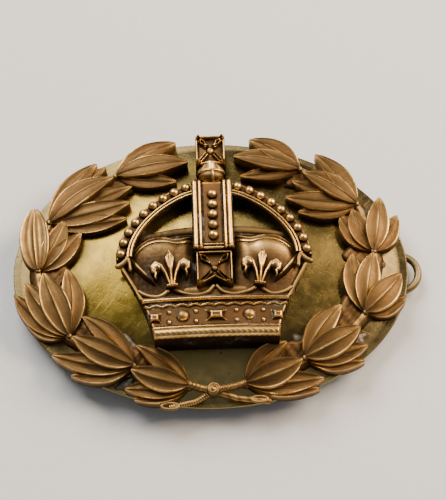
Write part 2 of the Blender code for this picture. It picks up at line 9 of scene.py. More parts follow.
import bmesh
import bpy
import numpy as np
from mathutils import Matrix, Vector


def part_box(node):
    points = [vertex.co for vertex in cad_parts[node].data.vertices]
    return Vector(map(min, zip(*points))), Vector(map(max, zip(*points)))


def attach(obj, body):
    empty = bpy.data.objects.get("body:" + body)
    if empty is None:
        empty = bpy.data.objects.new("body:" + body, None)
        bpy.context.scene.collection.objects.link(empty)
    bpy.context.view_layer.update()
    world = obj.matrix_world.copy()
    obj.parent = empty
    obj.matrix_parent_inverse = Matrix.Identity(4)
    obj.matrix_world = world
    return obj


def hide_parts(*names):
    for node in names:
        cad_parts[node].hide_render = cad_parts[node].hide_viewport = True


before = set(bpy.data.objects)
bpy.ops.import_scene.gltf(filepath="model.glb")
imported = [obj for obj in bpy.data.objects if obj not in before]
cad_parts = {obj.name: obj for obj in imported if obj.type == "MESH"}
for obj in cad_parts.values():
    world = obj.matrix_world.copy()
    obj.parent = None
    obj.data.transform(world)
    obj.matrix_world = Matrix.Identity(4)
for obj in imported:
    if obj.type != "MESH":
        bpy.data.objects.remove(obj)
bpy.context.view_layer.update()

# ---------------------------------------------------------------------------
# Backing plate. Sheet brass, cut to an oval and pressed into a low dome with a
# narrow flat rim. Two slots let the lugs through. It was never lacquered, so it
# has gone olive, with fine rubbing marks and a few black pits.
# ---------------------------------------------------------------------------
MM = 0.001
plate_low, plate_high = (np.array(corner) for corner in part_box("backing_plate"))
plate_origin = np.array([*(plate_low + plate_high)[:2] / 2, plate_low[2]])
half_length, half_width = (plate_high - plate_low)[:2] / 2 / MM
SHEET = 0.8
RIM_FLAT = 1.4
dome_edge = 1.0 - RIM_FLAT / half_length
dome_rise = (plate_high[2] - plate_low[2]) / MM - SHEET
RIM_FALL = 0.048
EDGE_ROUND = 0.006
SLOT_LENGTH = 4.9
SLOT_WIDTH = 1.7
PUNCH_DEPTH = 12.0


def dome(x, y):
    """Height of the plate's front: the sheet, plus the rise times one less the
    square of the share of the way to the dome's edge."""
    share = np.hypot(x / half_length, y / half_width)
    return SHEET + dome_rise * np.clip(1.0 - (share / dome_edge) ** 2, 0.0, None)


def skin(loops):
    """Closed skin over a stack of closed loops: quads join each loop to the next and
    one flat face closes each end. Faces are turned round where the skin's volume,
    summed over its triangles as a product of their corners, comes out negative.
    Gives the points and three blocks of faces: the quads and the two ends."""
    rows, columns = loops.shape[:2]
    index = np.arange(rows * columns).reshape(rows, columns)
    near, far = index[:-1], index[1:]
    sides = np.stack([near, np.roll(near, -1, 1), np.roll(far, -1, 1), far], -1).reshape(-1, 4)
    fans = []
    for ring in (index[0, ::-1], index[-1]):
        fans.append(np.stack([np.full(columns - 2, ring[0]), ring[1:-1], ring[2:]], -1))
    triangles = np.concatenate([sides[:, :3], sides[:, [0, 2, 3]], *fans])
    points = loops.reshape(-1, 3)
    a, b, c = (points[triangles[:, k]] - points.mean(0) for k in range(3))
    turn = 1 if np.einsum("ij,ij->i", a, np.cross(b, c)).sum() > 0 else -1
    return points, (sides[:, ::turn], index[:1, ::-1][:, ::turn], index[-1:, ::turn])


def piece(name, skins, *materials):
    """One object from several skins. Each is (points, faces, worn, deep, grain): worn
    and deep are 0 to 1 for metal rubbed bright and metal where dirt stays, and grain
    is the place along and across the form that its fine lines follow. On the cap, the
    band's roll and the orb's neck, worn also carries painted highlight; on the cap deep
    also carries painted shade, and on the plate deep is painted shade and painted
    reflection. Worn and deep may be one value, one row or one column of the grid that
    grain fills. A sixth value is the number of the skin's material, where it isn't the
    first."""
    points, faces, coats, start = [], [], [], 0
    for skin_points, blocks, _, _, _, *coat in skins:
        points.append(skin_points)
        for block in blocks:
            faces += (block + start).tolist()
            coats += (coat or [0]) * len(block)
        start += len(skin_points)
    mesh = bpy.data.meshes.new(name)
    mesh.from_pydata((np.concatenate(points) * MM + plate_origin).tolist(), [], faces)
    for column, kind in ((2, "worn"), (3, "deep")):
        spread = [np.broadcast_to(item[column], item[4].shape[:-1]).ravel() for item in skins]
        values = np.concatenate(spread).astype(np.float32)
        mesh.attributes.new(kind, "FLOAT", "POINT").data.foreach_set("value", values)
    grain = np.concatenate([item[4].reshape(-1, 3) for item in skins]).astype(np.float32)
    mesh.attributes.new("grain", "FLOAT_VECTOR", "POINT").data.foreach_set("vector", grain.ravel())
    for material in materials:
        mesh.materials.append(material)
    mesh.polygons.foreach_set("material_index", coats)
    mesh.shade_smooth()
    mesh.set_sharp_from_angle(angle=math.radians(62))
    item = bpy.data.objects.new(name, mesh)
    bpy.context.scene.collection.objects.link(item)
    return item


def add_node(tree, kind, inputs=None, **settings):
    """Add a shader node, with its settings, and give each input a value or a link."""
    made = tree.nodes.new(kind)
    for key, value in settings.items():
        setattr(made, key, value)
    for key, value in (inputs or {}).items():
        if isinstance(value, bpy.types.NodeSocket):
            tree.links.new(value, made.inputs[key])
        else:
            made.inputs[key].default_value = value
    return made


def blend(tree, share, first, second):
    """Colour that goes from the first to the second as share goes from 0 to 1."""
    mix = add_node(tree, "ShaderNodeMix", data_type="RGBA")
    for slot, value in ((0, share), (6, first), (7, second)):
        if isinstance(value, bpy.types.NodeSocket):
            tree.links.new(value, mix.inputs[slot])
        else:
            mix.inputs[slot].default_value = value
    return mix.outputs[2]


def step(tree, value, low, high, to_low=0.0, to_high=1.0):
    """Map a value smoothly from the range low to high on to to_low to to_high."""
    ends = {"Value": value, "From Min": low, "From Max": high, "To Min": to_low, "To Max": to_high}
    return add_node(tree, "ShaderNodeMapRange", ends, interpolation_type="SMOOTHSTEP").outputs["Result"]


def reckon(tree, operation, first, second=0.0):
    """Result of one sum on two numbers."""
    return add_node(tree, "ShaderNodeMath", {0: first, 1: second}, operation=operation).outputs[0]


def speckle(tree, place, scale, detail=4.0, roughness=0.6):
    """Noise, 0 to 1, with scale the number of patches in a metre."""
    values = {"Vector": place, "Scale": scale, "Detail": detail, "Roughness": roughness}
    return add_node(tree, "ShaderNodeTexNoise", values).outputs["Fac"]


def new_group(name, inputs, outputs):
    """Empty shader group; its sockets are given as (name, kind) pairs."""
    tree = bpy.data.node_groups.new(name, "ShaderNodeTree")
    for direction, sockets in (("INPUT", inputs), ("OUTPUT", outputs)):
        for socket, kind in sockets:
            tree.interface.new_socket(socket, in_out=direction, socket_type="NodeSocket" + kind)
    return tree, tree.nodes.new("NodeGroupInput").outputs, tree.nodes.new("NodeGroupOutput").inputs


def rubbing_group():
    """Rubbing marks: noise drawn out along one direction, thin, in two crossing
    sets. Gives a mask of the marks and a height for the bump."""
    inputs = [("Place", "Vector"), ("Density", "Float")]
    tree, given, wanted = new_group("rubbing_marks", inputs, [("Marks", "Float"), ("Height", "Float")])
    sets = []
    for turn, stretch in ((0.35, (140.0, 5200.0, 140.0)), (-0.9, (200.0, 4200.0, 200.0))):
        about = {"Vector": given["Place"], "Rotation": (0.0, 0.0, turn)}
        swung = add_node(tree, "ShaderNodeMapping", about).outputs[0]
        drawn = add_node(tree, "ShaderNodeMapping", {"Vector": swung, "Scale": stretch})
        sets.append(step(tree, speckle(tree, drawn.outputs[0], 1.0, 2.0, 0.5), 0.60, 0.72))
    marks = reckon(tree, "MULTIPLY", reckon(tree, "MAXIMUM", *sets), given["Density"])
    tree.links.new(marks, wanted["Marks"])
    tree.links.new(reckon(tree, "MULTIPLY", marks, -1.0), wanted["Height"])
    return tree


def metal_material(name):
    """New metal with its own nodes: the tree, its shader and its Object coordinates."""
    material = bpy.data.materials.new(name)
    material.use_nodes = True
    tree = material.node_tree
    shader = tree.nodes["Principled BSDF"]
    shader.inputs["Metallic"].default_value = 1.0
    place = tree.nodes.new("ShaderNodeTexCoord").outputs["Object"]
    return material, tree, shader, place


rubbing_marks = rubbing_group()


def plate_brass():
    """Olive sheet brass, yellower toward the left and greyer toward the right as painted
    light from the left: yellow where it was rubbed, brown in slow patches, darker at
    the rim, nearly black along the wreath with painted shade and painted reflection of
    the wreath, painted paler in front of the crown's foot where the crown's shadow
    falls, and with small pits."""
    material, tree, shader, place = metal_material("sheet_brass")
    patches = speckle(tree, place, 70.0, 3.0)
    mottle = speckle(tree, place, 420.0, 5.0)
    where = add_node(tree, "ShaderNodeSeparateXYZ", {"Vector": place}).outputs
    # Painted light: the base colour runs from yellower on the left, where the light falls, to greyer on the
    # right.
    side = step(tree, where[0], -0.022, 0.012)
    warm = blend(tree, side, (0.190, 0.126, 0.018, 1.0), (0.180, 0.126, 0.040, 1.0))
    mixed = blend(tree, step(tree, patches, 0.42, 0.68), warm, (0.140, 0.098, 0.028, 1.0))
    mixed = blend(tree, step(tree, mottle, 0.45, 0.75, 0.0, 0.45), mixed, (0.100, 0.071, 0.026, 1.0))
    rim = add_node(tree, "ShaderNodeAttribute", attribute_name="worn").outputs["Fac"]
    mixed = blend(tree, reckon(tree, "MULTIPLY", rim, 0.80), mixed, (0.080, 0.060, 0.028, 1.0))
    # Painted shade and painted reflection: the plate's deep ring, read here, darkens the brass along the
    # wreath's inner edge, unevenly by the mottle.
    tarnish_and_painted_shade = add_node(tree, "ShaderNodeAttribute", attribute_name="deep").outputs["Fac"]
    painted_wreath_shade = reckon(tree, "MULTIPLY", tarnish_and_painted_shade, step(tree, mottle, 0.25, 0.6, 0.55, 0.85))
    mixed = blend(tree, painted_wreath_shade, mixed, (0.050, 0.036, 0.013, 1.0))
    # Painted light: the plate is painted paler in front of the crown's foot, where the crown's shadow
    # falls.
    front = step(tree, where[1], -0.013, -0.020, 0.0, 0.8)
    mixed = blend(tree, front, mixed, (0.380, 0.290, 0.110, 1.0))
    marks = add_node(tree, "ShaderNodeGroup", node_tree=rubbing_marks)
    tree.links.new(place, marks.inputs["Place"])
    marks.inputs["Density"].default_value = 1.0
    rubbed = reckon(tree, "MULTIPLY", marks.outputs["Marks"], 0.16)
    mixed = blend(tree, rubbed, mixed, (0.36, 0.26, 0.09, 1.0))
    pits = add_node(tree, "ShaderNodeTexVoronoi", {"Vector": place, "Scale": 640.0}).outputs["Distance"]
    chosen = step(tree, speckle(tree, place, 300.0, 2.0), 0.56, 0.62)
    pit = reckon(tree, "MULTIPLY", step(tree, pits, 0.20, 0.08), chosen)
    mixed = blend(tree, pit, mixed, (0.06, 0.045, 0.03, 1.0))
    tree.links.new(mixed, shader.inputs["Base Color"])
    tree.links.new(step(tree, mottle, 0.3, 0.75, 0.20, 0.34), shader.inputs["Roughness"])
    height = reckon(tree, "SUBTRACT", reckon(tree, "MULTIPLY", marks.outputs["Height"], 0.4), pit)
    height = reckon(tree, "ADD", height, reckon(tree, "MULTIPLY", speckle(tree, place, 1500.0), 0.9))
    bump = add_node(tree, "ShaderNodeBump", {"Height": height, "Distance": 0.00002, "Strength": 0.55})
    tree.links.new(bump.outputs[0], shader.inputs["Normal"])
    return material


def plate_skin():
    """Plate turned about z and narrowed to its oval: a share of the radius goes out
    over the domed front, round the edge and back under at one sheet's depth, while
    the angle goes round. Slow waves of a few hundredths lie on both faces, and the
    rim falls by a squared sine. Worn is the rim. Deep is a ring of painted shade and
    painted reflection of the wreath under the wreath, a bell curve in the share,
    weaker in front of the crown's foot."""
    edge = 1.0 - EDGE_ROUND
    shares = np.concatenate([np.linspace(0.004, dome_edge, 46), np.linspace(dome_edge, edge, 7)[1:]])
    roll = np.linspace(0.15, np.pi - 0.15, 7)
    share = np.concatenate([shares, edge + EDGE_ROUND * np.sin(roll), shares[::-1]])[:, None]
    flat = np.ones(shares.shape)
    depth = np.concatenate([0 * flat, (1.0 - np.cos(roll)) / 2, flat])[:, None]
    angle = np.linspace(0.0, 2.0 * np.pi, 320, endpoint=False)[None, :]
    x, y = half_length * share * np.cos(angle), half_width * share * np.sin(angle)
    waves = 0.05 * np.sin(0.31 * x + 0.9) * np.cos(0.27 * y) + 0.03 * np.sin(0.55 * x - 0.48 * y)
    waves = waves * np.clip(6.0 * (1.0 - share), 0.0, 1.0)
    over_rim = np.clip((share - dome_edge) / (1.0 - dome_edge), 0.0, 1.0) * (share < 0.995)
    z = dome(x, y) + waves - RIM_FALL * np.sin(0.5 * np.pi * over_rim) ** 2 - SHEET * depth
    points, faces = skin(np.stack([x, y, z], -1))
    worn = np.clip((share - 0.80) / 0.12, 0.0, 1.0)
    # Painted shade: deep on the plate is a ring standing for the wreath's shadow and reflection, weaker
    # below the crown.
    around = (0.8 + 0.2 * np.sin(5.0 * angle)) * (1.0 - 0.7 * np.exp(-(((angle - 1.5 * np.pi) / 0.4) ** 2)))
    deep = np.exp(-(((share - 0.68) / 0.075) ** 2)) * around * (depth < 0.5)
    return points, faces, worn, deep, np.stack([x, y, z], -1)


plate = piece("plate_of_brass", [plate_skin()], plate_brass())
for lug in ("lug_left", "lug_right"):
    lug_low, lug_high = (np.array(corner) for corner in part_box(lug))
    punch = bmesh.new()
    bmesh.ops.create_cube(punch, size=1.0)
    punch_mesh = bpy.data.meshes.new("slot_punch")
    punch.to_mesh(punch_mesh)
    punch.free()
    slot_box = bpy.data.objects.new("slot_punch", punch_mesh)
    slot_box.scale = (SLOT_WIDTH * MM, SLOT_LENGTH * MM, PUNCH_DEPTH * MM)
    slot_box.location = (*(lug_low + lug_high)[:2] / 2, plate_low[2])
    bpy.context.scene.collection.objects.link(slot_box)
    slot = plate.modifiers.new("slot", "BOOLEAN")
    slot.object, slot.solver = slot_box, "EXACT"
    bpy.context.view_layer.update()
    cut_plate = plate.evaluated_get(bpy.context.evaluated_depsgraph_get())
    pierced = bpy.data.meshes.new_from_object(cut_plate)
    plate.modifiers.clear()
    plate.data = pierced
    bpy.data.objects.remove(slot_box)
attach(plate, "badge")
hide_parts("backing_plate")

# ---------------------------------------------------------------------------
# Split pin. Brass wire bent double, with its legs side by side and a round eye at
# the end. It slides through both lugs and holds the badge on.
# ---------------------------------------------------------------------------
PIN_WIRE = 1.3
PIN_SPLIT = 0.14
NECK_RUN = 1.2
pin_low, pin_high = ((np.array(corner) - plate_origin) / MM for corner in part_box("split_pin"))
pin_z = (pin_low[2] + pin_high[2]) / 2
eye_radius = (pin_high[1] - pin_low[1] - PIN_WIRE) / 2
eye_x = pin_high[0] - eye_radius - PIN_WIRE / 2


def wire_skin(path, radius, sides=20, ridges=0.0, turns=0.0):
    """Wire carried along a path: at each station a ring of the given radius stands
    square to the path. Both ends are rounded by rings that shrink on a quarter
    circle. Ridges twist round it turns times."""
    path = np.asarray(path, float)
    way = np.gradient(path, axis=0)
    way /= np.linalg.norm(way, axis=1)[:, None]
    bulge = np.linspace(0.06, 0.5 * np.pi, 5)[:-1]
    head = path[:1] - way[:1] * radius * np.cos(bulge)[:, None]
    tail = path[-1:] + way[-1:] * radius * np.cos(bulge[::-1])[:, None]
    stations = np.concatenate([head, path, tail])
    way = np.concatenate([np.repeat(way[:1], 4, 0), way, np.repeat(way[-1:], 4, 0)])
    size = np.concatenate([np.sin(bulge), np.ones(len(path)), np.sin(bulge[::-1])]) * radius
    across = np.cross(way, [0.0, 0.0, 1.0])
    across[np.linalg.norm(across, axis=1) < 0.05] = (1.0, 0.0, 0.0)
    across /= np.linalg.norm(across, axis=1)[:, None]
    lift = np.cross(across, way)
    along = np.concatenate([[0.0], np.cumsum(np.linalg.norm(np.diff(stations, axis=0), axis=1))])
    angle = np.linspace(0.0, 2.0 * np.pi, sides, endpoint=False)
    twist = np.abs(np.sin(0.5 * angle[None, :] + turns * np.pi * along[:, None] / along[-1]))
    ring = size[:, None] * (1.0 + ridges * (twist - 0.6))
    sideways = across[:, None, :] * (np.cos(angle) * ring)[..., None]
    upward = lift[:, None, :] * (np.sin(angle) * ring)[..., None]
    points, faces = skin(stations[:, None, :] + sideways + upward)
    grain = np.stack([*np.broadcast_arrays(along[:, None], angle), np.zeros(ring.shape)], -1)
    worn = np.clip(0.35 + ridges * 6.0 * (twist - 0.6), 0.0, 1.0)
    deep = np.clip(ridges * 8.0 * (0.5 - twist), 0.0, 1.0)
    return points, faces, worn, deep, grain


def aged_group():
    """Aged metal: bright where it is worn, dark where it is deep, with slow tarnish
    and a pale powder that gathers in the deepest places. Gives its colour, its
    roughness, how much of it is bare metal, and a height for the bump."""
    inputs = [("Place", "Vector"), ("Worn", "Float"), ("Deep", "Float"), ("Bright", "Color")]
    inputs += [("Body", "Color"), ("Dark", "Color"), ("Powder", "Float")]
    outputs = [("Colour", "Color"), ("Roughness", "Float"), ("Metal", "Float"), ("Height", "Float")]
    tree, given, wanted = new_group("aged_metal", inputs, outputs)
    tarnish_and_painted_shade = speckle(tree, given["Place"], 260.0, 4.0)
    fine = speckle(tree, given["Place"], 1900.0, 3.0)
    warm = speckle(tree, given["Place"], 110.0, 2.0)
    base = blend(tree, step(tree, tarnish_and_painted_shade, 0.40, 0.72, 0.0, 0.45), given["Body"], given["Dark"])
    base = blend(tree, step(tree, warm, 0.48, 0.72, 0.0, 0.30), base, (0.17, 0.062, 0.020, 1.0))
    rub = reckon(tree, "MULTIPLY", given["Worn"], step(tree, tarnish_and_painted_shade, 0.78, 0.30, 0.45, 1.0))
    base = blend(tree, rub, base, given["Bright"])
    dirt = reckon(tree, "MULTIPLY", given["Deep"], step(tree, fine, 0.25, 0.65, 0.6, 1.0))
    base = blend(tree, reckon(tree, "MULTIPLY", dirt, 0.85), base, (0.022, 0.015, 0.010, 1.0))
    where = step(tree, speckle(tree, given["Place"], 190.0, 5.0, 0.7), 0.53, 0.66)
    settled = reckon(tree, "MULTIPLY", step(tree, given["Deep"], 0.45, 0.95), where)
    powder = reckon(tree, "MULTIPLY", settled, given["Powder"])
    base = blend(tree, powder, base, (0.19, 0.195, 0.175, 1.0))
    rough = step(tree, rub, 0.0, 1.0, 0.47, 0.24)
    rough = reckon(tree, "ADD", rough, step(tree, fine, 0.3, 0.7, -0.03, 0.06))
    rough = reckon(tree, "ADD", rough, reckon(tree, "MULTIPLY", dirt, 0.20))
    tree.links.new(base, wanted["Colour"])
    tree.links.new(reckon(tree, "ADD", rough, reckon(tree, "MULTIPLY", powder, 0.3)), wanted["Roughness"])
    tree.links.new(step(tree, powder, 0.1, 0.8, 1.0, 0.25), wanted["Metal"])
    tree.links.new(reckon(tree, "ADD", fine, reckon(tree, "MULTIPLY", tarnish_and_painted_shade, 0.8)), wanted["Height"])
    return tree


aged_metal = aged_group()


def aged_material(name, bright, body, dark, powder, lines=0.0, bump=0.5):
    """Metal with the aged group's colour, roughness and bump. Lines adds fine ridges
    along the form: noise read from the piece's grain, drawn out along it."""
    material, tree, shader, place = metal_material(name)
    aged = add_node(tree, "ShaderNodeGroup", node_tree=aged_metal)
    tree.links.new(place, aged.inputs["Place"])
    for kind, socket in (("worn", "Worn"), ("deep", "Deep")):
        read = add_node(tree, "ShaderNodeAttribute", attribute_name=kind)
        tree.links.new(read.outputs["Fac"], aged.inputs[socket])
    for socket, value in (("Bright", bright), ("Body", body), ("Dark", dark)):
        aged.inputs[socket].default_value = (*value, 1.0)
    aged.inputs["Powder"].default_value = powder
    for socket, target in (("Colour", "Base Color"), ("Roughness", "Roughness"), ("Metal", "Metallic")):
        tree.links.new(aged.outputs[socket], shader.inputs[target])
    height = aged.outputs["Height"]
    if lines:
        grain = add_node(tree, "ShaderNodeAttribute", attribute_name="grain").outputs["Vector"]
        drawn = add_node(tree, "ShaderNodeMapping", {"Vector": grain, "Scale": (0.30, 8.0, 1.0)})
        ribs = speckle(tree, drawn.outputs[0], 1.0, 2.0, 0.5)
        height = reckon(tree, "ADD", height, reckon(tree, "MULTIPLY", ribs, lines))
    bumped = add_node(tree, "ShaderNodeBump", {"Height": height, "Distance": 0.00005, "Strength": bump})
    tree.links.new(bumped.outputs[0], shader.inputs["Normal"])
    return material


leg_y = (PIN_WIRE + PIN_SPLIT) / 2
eye_start = math.pi - math.asin(leg_y / eye_radius)
eye_turn = np.linspace(eye_start, -eye_start, 64)
neck_x = eye_x + eye_radius * math.cos(eye_start)
leg_x = np.linspace(pin_low[0] + PIN_WIRE / 2, neck_x - NECK_RUN, 24)
leg = np.stack(np.broadcast_arrays(leg_x, leg_y, pin_z), -1)
round_x, round_y = eye_x + eye_radius * np.cos(eye_turn), eye_radius * np.sin(eye_turn)
eye = np.stack(np.broadcast_arrays(round_x, round_y, pin_z), -1)
pin_path = np.concatenate([leg, eye, leg[::-1] * (1.0, -1.0, 1.0)])
pin_brass = aged_material(
    "pin_brass", (0.34, 0.25, 0.11), (0.145, 0.105, 0.046), (0.080, 0.058, 0.028), 0.0
)
pin = piece("pin_split", [wire_skin(pin_path, PIN_WIRE / 2)], pin_brass)
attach(pin, "pin")
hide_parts("split_pin")

# ---------------------------------------------------------------------------
# Lugs. Two loops of copper wire, each bent to a U, pushed down through a slot in
# the plate and brazed to the back of the wreath. The pin runs through both.
# ---------------------------------------------------------------------------
LUG_WIRE = 1.1
LUG_BEND = 0.9
LUG_SQUARENESS = 0.75
LUG_TOP_GAP = 0.3
lug_copper = aged_material(
    "lug_copper", (0.55, 0.30, 0.18), (0.24, 0.115, 0.065), (0.11, 0.055, 0.035), 0.5
)
for lug in ("lug_left", "lug_right"):
    low, high = ((np.array(corner) - plate_origin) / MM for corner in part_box(lug))
    lug_leg_y = high[1] - LUG_WIRE / 2
    foot_z = low[2] + LUG_WIRE / 2
    bend = np.linspace(0.0, np.pi, 25)
    bend_y = -lug_leg_y * np.sign(np.cos(bend)) * np.abs(np.cos(bend)) ** LUG_SQUARENESS
    bend_z = foot_z + LUG_BEND * (1.0 - np.abs(np.sin(bend)) ** LUG_SQUARENESS)
    rise = np.linspace(high[2] - LUG_TOP_GAP, foot_z + LUG_BEND + 0.05, 9)[:-1]
    leg_side = np.full(len(rise), lug_leg_y)
    lug_y, lug_z = np.concatenate([-leg_side, bend_y, leg_side]), np.concatenate([rise, bend_z, rise[::-1]])
    lug_path = np.stack(np.broadcast_arrays((low[0] + high[0]) / 2, lug_y, lug_z), -1)
    loop = piece(lug + "_wire", [wire_skin(lug_path, LUG_WIRE / 2, 16)], lug_copper)
    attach(loop, "badge")
    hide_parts(lug)

# ---------------------------------------------------------------------------
# Laurel wreath. Two cast branches of gilding metal, each an oval stem with sprays
# of leaves. A leaf has a raised rim and midrib with a hollow between them. The
# castings are soldered to the plate, and solder lies grey between the sprays.
# ---------------------------------------------------------------------------
LEAF_RELIEF = 2.6
LEAF_RIM = 0.17
LEAF_HOLLOW = 0.16
LEAF_EDGE_FALL = 0.30
VEIN_BOLD, VEIN_FINE = 0.045, 0.008
STEM_RADIUS = 0.62
STEM_HEIGHT = 0.9
WEB_HEIGHT = 0.85
KNOB_RADIUS = 0.55
KNOB_HEIGHT = 1.5
SUNK = 0.45
UNDERSIDE = 9
WREATH_TURN = math.radians(-0.9)

# Each spray is the place its leaves spring from, then its leaves as the tip's two
# places, breadth, share of the full relief, bow to one side, and for the one leaf
# with a blunt tip the power that blunts it.
LEFT_SPRAYS = (
    ((-3.6, -21.8), ((-13.3, -19.2, 3.9, 1.0, 0.5), (-12.4, -15.0, 3.5, 0.66, -0.5),
                     (-14.3, -22.2, 3.5, 0.66, 0.3), (-12.8, -23.9, 2.9, 0.46, 0.4))),
    ((-12.9, -18.3), ((-23.2, -13.2, 4.1, 1.0, 0.5), (-21.6, -9.6, 3.9, 0.62, -0.6),
                      (-26.7, -16.1, 3.7, 0.66, 0.7), (-23.4, -19.7, 3.3, 0.46, 0.5))),
    ((-23.9, -12.8), ((-28.6, -1.5, 4.6, 1.0, 0.2), (-24.6, -0.8, 4.0, 0.60, -0.9),
                      (-31.7, -2.9, 4.2, 0.72, 0.6), (-33.6, -4.9, 3.6, 0.50, 0.9),
                      (-31.7, -9.2, 2.8, 0.34, 0.6))),
    ((-29.6, -0.7), ((-30.6, 11.1, 5.0, 1.0, 0.3, 0.55), (-25.1, 8.7, 3.9, 0.72, -0.5),
                     (-22.3, 6.1, 3.7, 0.52, -0.7))),
    ((-27.9, 8.6), ((-17.1, 16.9, 4.6, 1.0, 1.2), (-20.1, 20.2, 4.0, 0.72, 0.8),
                    (-18.5, 19.6, 3.6, 0.60, 0.4), (-14.0, 11.7, 4.0, 0.72, -0.5),
                    (-13.8, 15.1, 3.8, 0.58, 0.1), (-14.5, 8.6, 3.4, 0.44, -0.9))),
    ((-16.6, 17.5), ((-4.1, 19.9, 4.2, 1.0, 0.5), (-6.3, 24.4, 4.0, 0.74, 0.8),
                     (-6.0, 16.0, 3.2, 0.50, -0.5))),
)
RIGHT_SPRAYS = (
    ((6.0, -21.4), ((15.4, -17.5, 4.2, 1.0, -0.5), (12.8, -14.3, 4.0, 0.66, 0.5),
                    (19.0, -20.2, 3.8, 0.66, -0.4), (18.3, -22.0, 2.9, 0.46, -0.4))),
    ((15.9, -16.9), ((25.3, -11.3, 4.3, 1.0, -0.4), (22.1, -7.5, 4.2, 0.66, 0.6),
                     (26.5, -14.3, 3.7, 0.64, -0.5), (26.0, -17.0, 3.0, 0.44, -0.5))),
    ((26.3, -8.5), ((32.6, -1.2, 4.3, 1.0, -0.4), (27.9, 2.5, 4.2, 0.80, 0.3),
                    (24.2, 2.1, 3.8, 0.60, 0.7), (33.4, -5.2, 3.2, 0.46, -0.4))),
    ((28.0, 2.9), ((29.3, 13.4, 4.0, 1.0, -0.2), (32.3, 10.2, 3.5, 0.62, -0.5),
                   (24.5, 10.9, 3.9, 0.70, 0.5), (22.3, 9.7, 3.6, 0.54, 0.8))),
    ((25.3, 12.2), ((16.1, 18.1, 4.4, 1.0, -0.5), (18.3, 22.1, 3.9, 0.72, -0.8),
                    (12.9, 12.7, 3.9, 0.70, 0.4), (15.1, 9.9, 3.3, 0.48, 0.8),
                    (14.1, 16.3, 3.6, 0.54, 0.2))),
    ((15.5, 19.0), ((4.0, 21.2, 4.3, 1.0, -0.5), (6.7, 25.0, 4.3, 0.74, -0.8),
                    (5.1, 17.1, 3.0, 0.50, 0.4))),
)


def turned(x, y, angle, about=(0.0, 0.0)):
    """Turn places through an angle about one point."""
    dx, dy = x - about[0], y - about[1]
    return (
        about[0] + dx * math.cos(angle) - dy * math.sin(angle),
        about[1] + dx * math.sin(angle) + dy * math.cos(angle),
    )


def smoothed(values, reach):
    """Mean of each value and its neighbours up to reach rows and columns away."""
    for axis in (0, 1):
        wide = [(reach + 1, reach) if axis == k else (0, 0) for k in (0, 1)]
        total = np.cumsum(np.pad(values, wide, mode="edge"), axis=axis)
        count = 2 * reach + 1
        high = np.take(total, range(count, total.shape[axis]), axis)
        low = np.take(total, range(0, total.shape[axis] - count), axis)
        values = (high - low) / count
    return values


def casting(x, y, z, fine=0.05, grain=None):
    """Raised form: its face is the grid (x, y, z), both long edges drop straight to
    just inside the plate, and its underside follows the plate there in a few columns.
    Worn is where the face stands above the mean round it, and deep is where it lies
    below and all over the underside."""
    across = np.linspace(x.shape[1] - 1, 0, UNDERSIDE).astype(int)
    under = np.stack([x[:, across], y[:, across], dome(x[:, across], y[:, across]) - SUNK], -1)
    face = np.stack([x, y, z], -1)
    points, faces = skin(np.concatenate([face, under], 1))
    hidden = [(0, 0), (0, UNDERSIDE)]
    worn = np.pad(np.clip((z - smoothed(z, 3)) / fine, 0.0, 1.0), hidden)
    sunk = np.clip((smoothed(z, 5) - z) / fine - 0.25, 0.0, 1.0)
    deep = np.pad(sunk, hidden, constant_values=0.6)
    grain = face if grain is None else grain
    return points, faces, worn, deep, np.concatenate([grain, grain[:, across]], 1)


def soft(value, width):
    """Rises from 0 to 1 as value goes from 0 to width."""
    share = np.clip(value / width, 0.0, 1.0)
    return share * share * (3.0 - 2.0 * share)


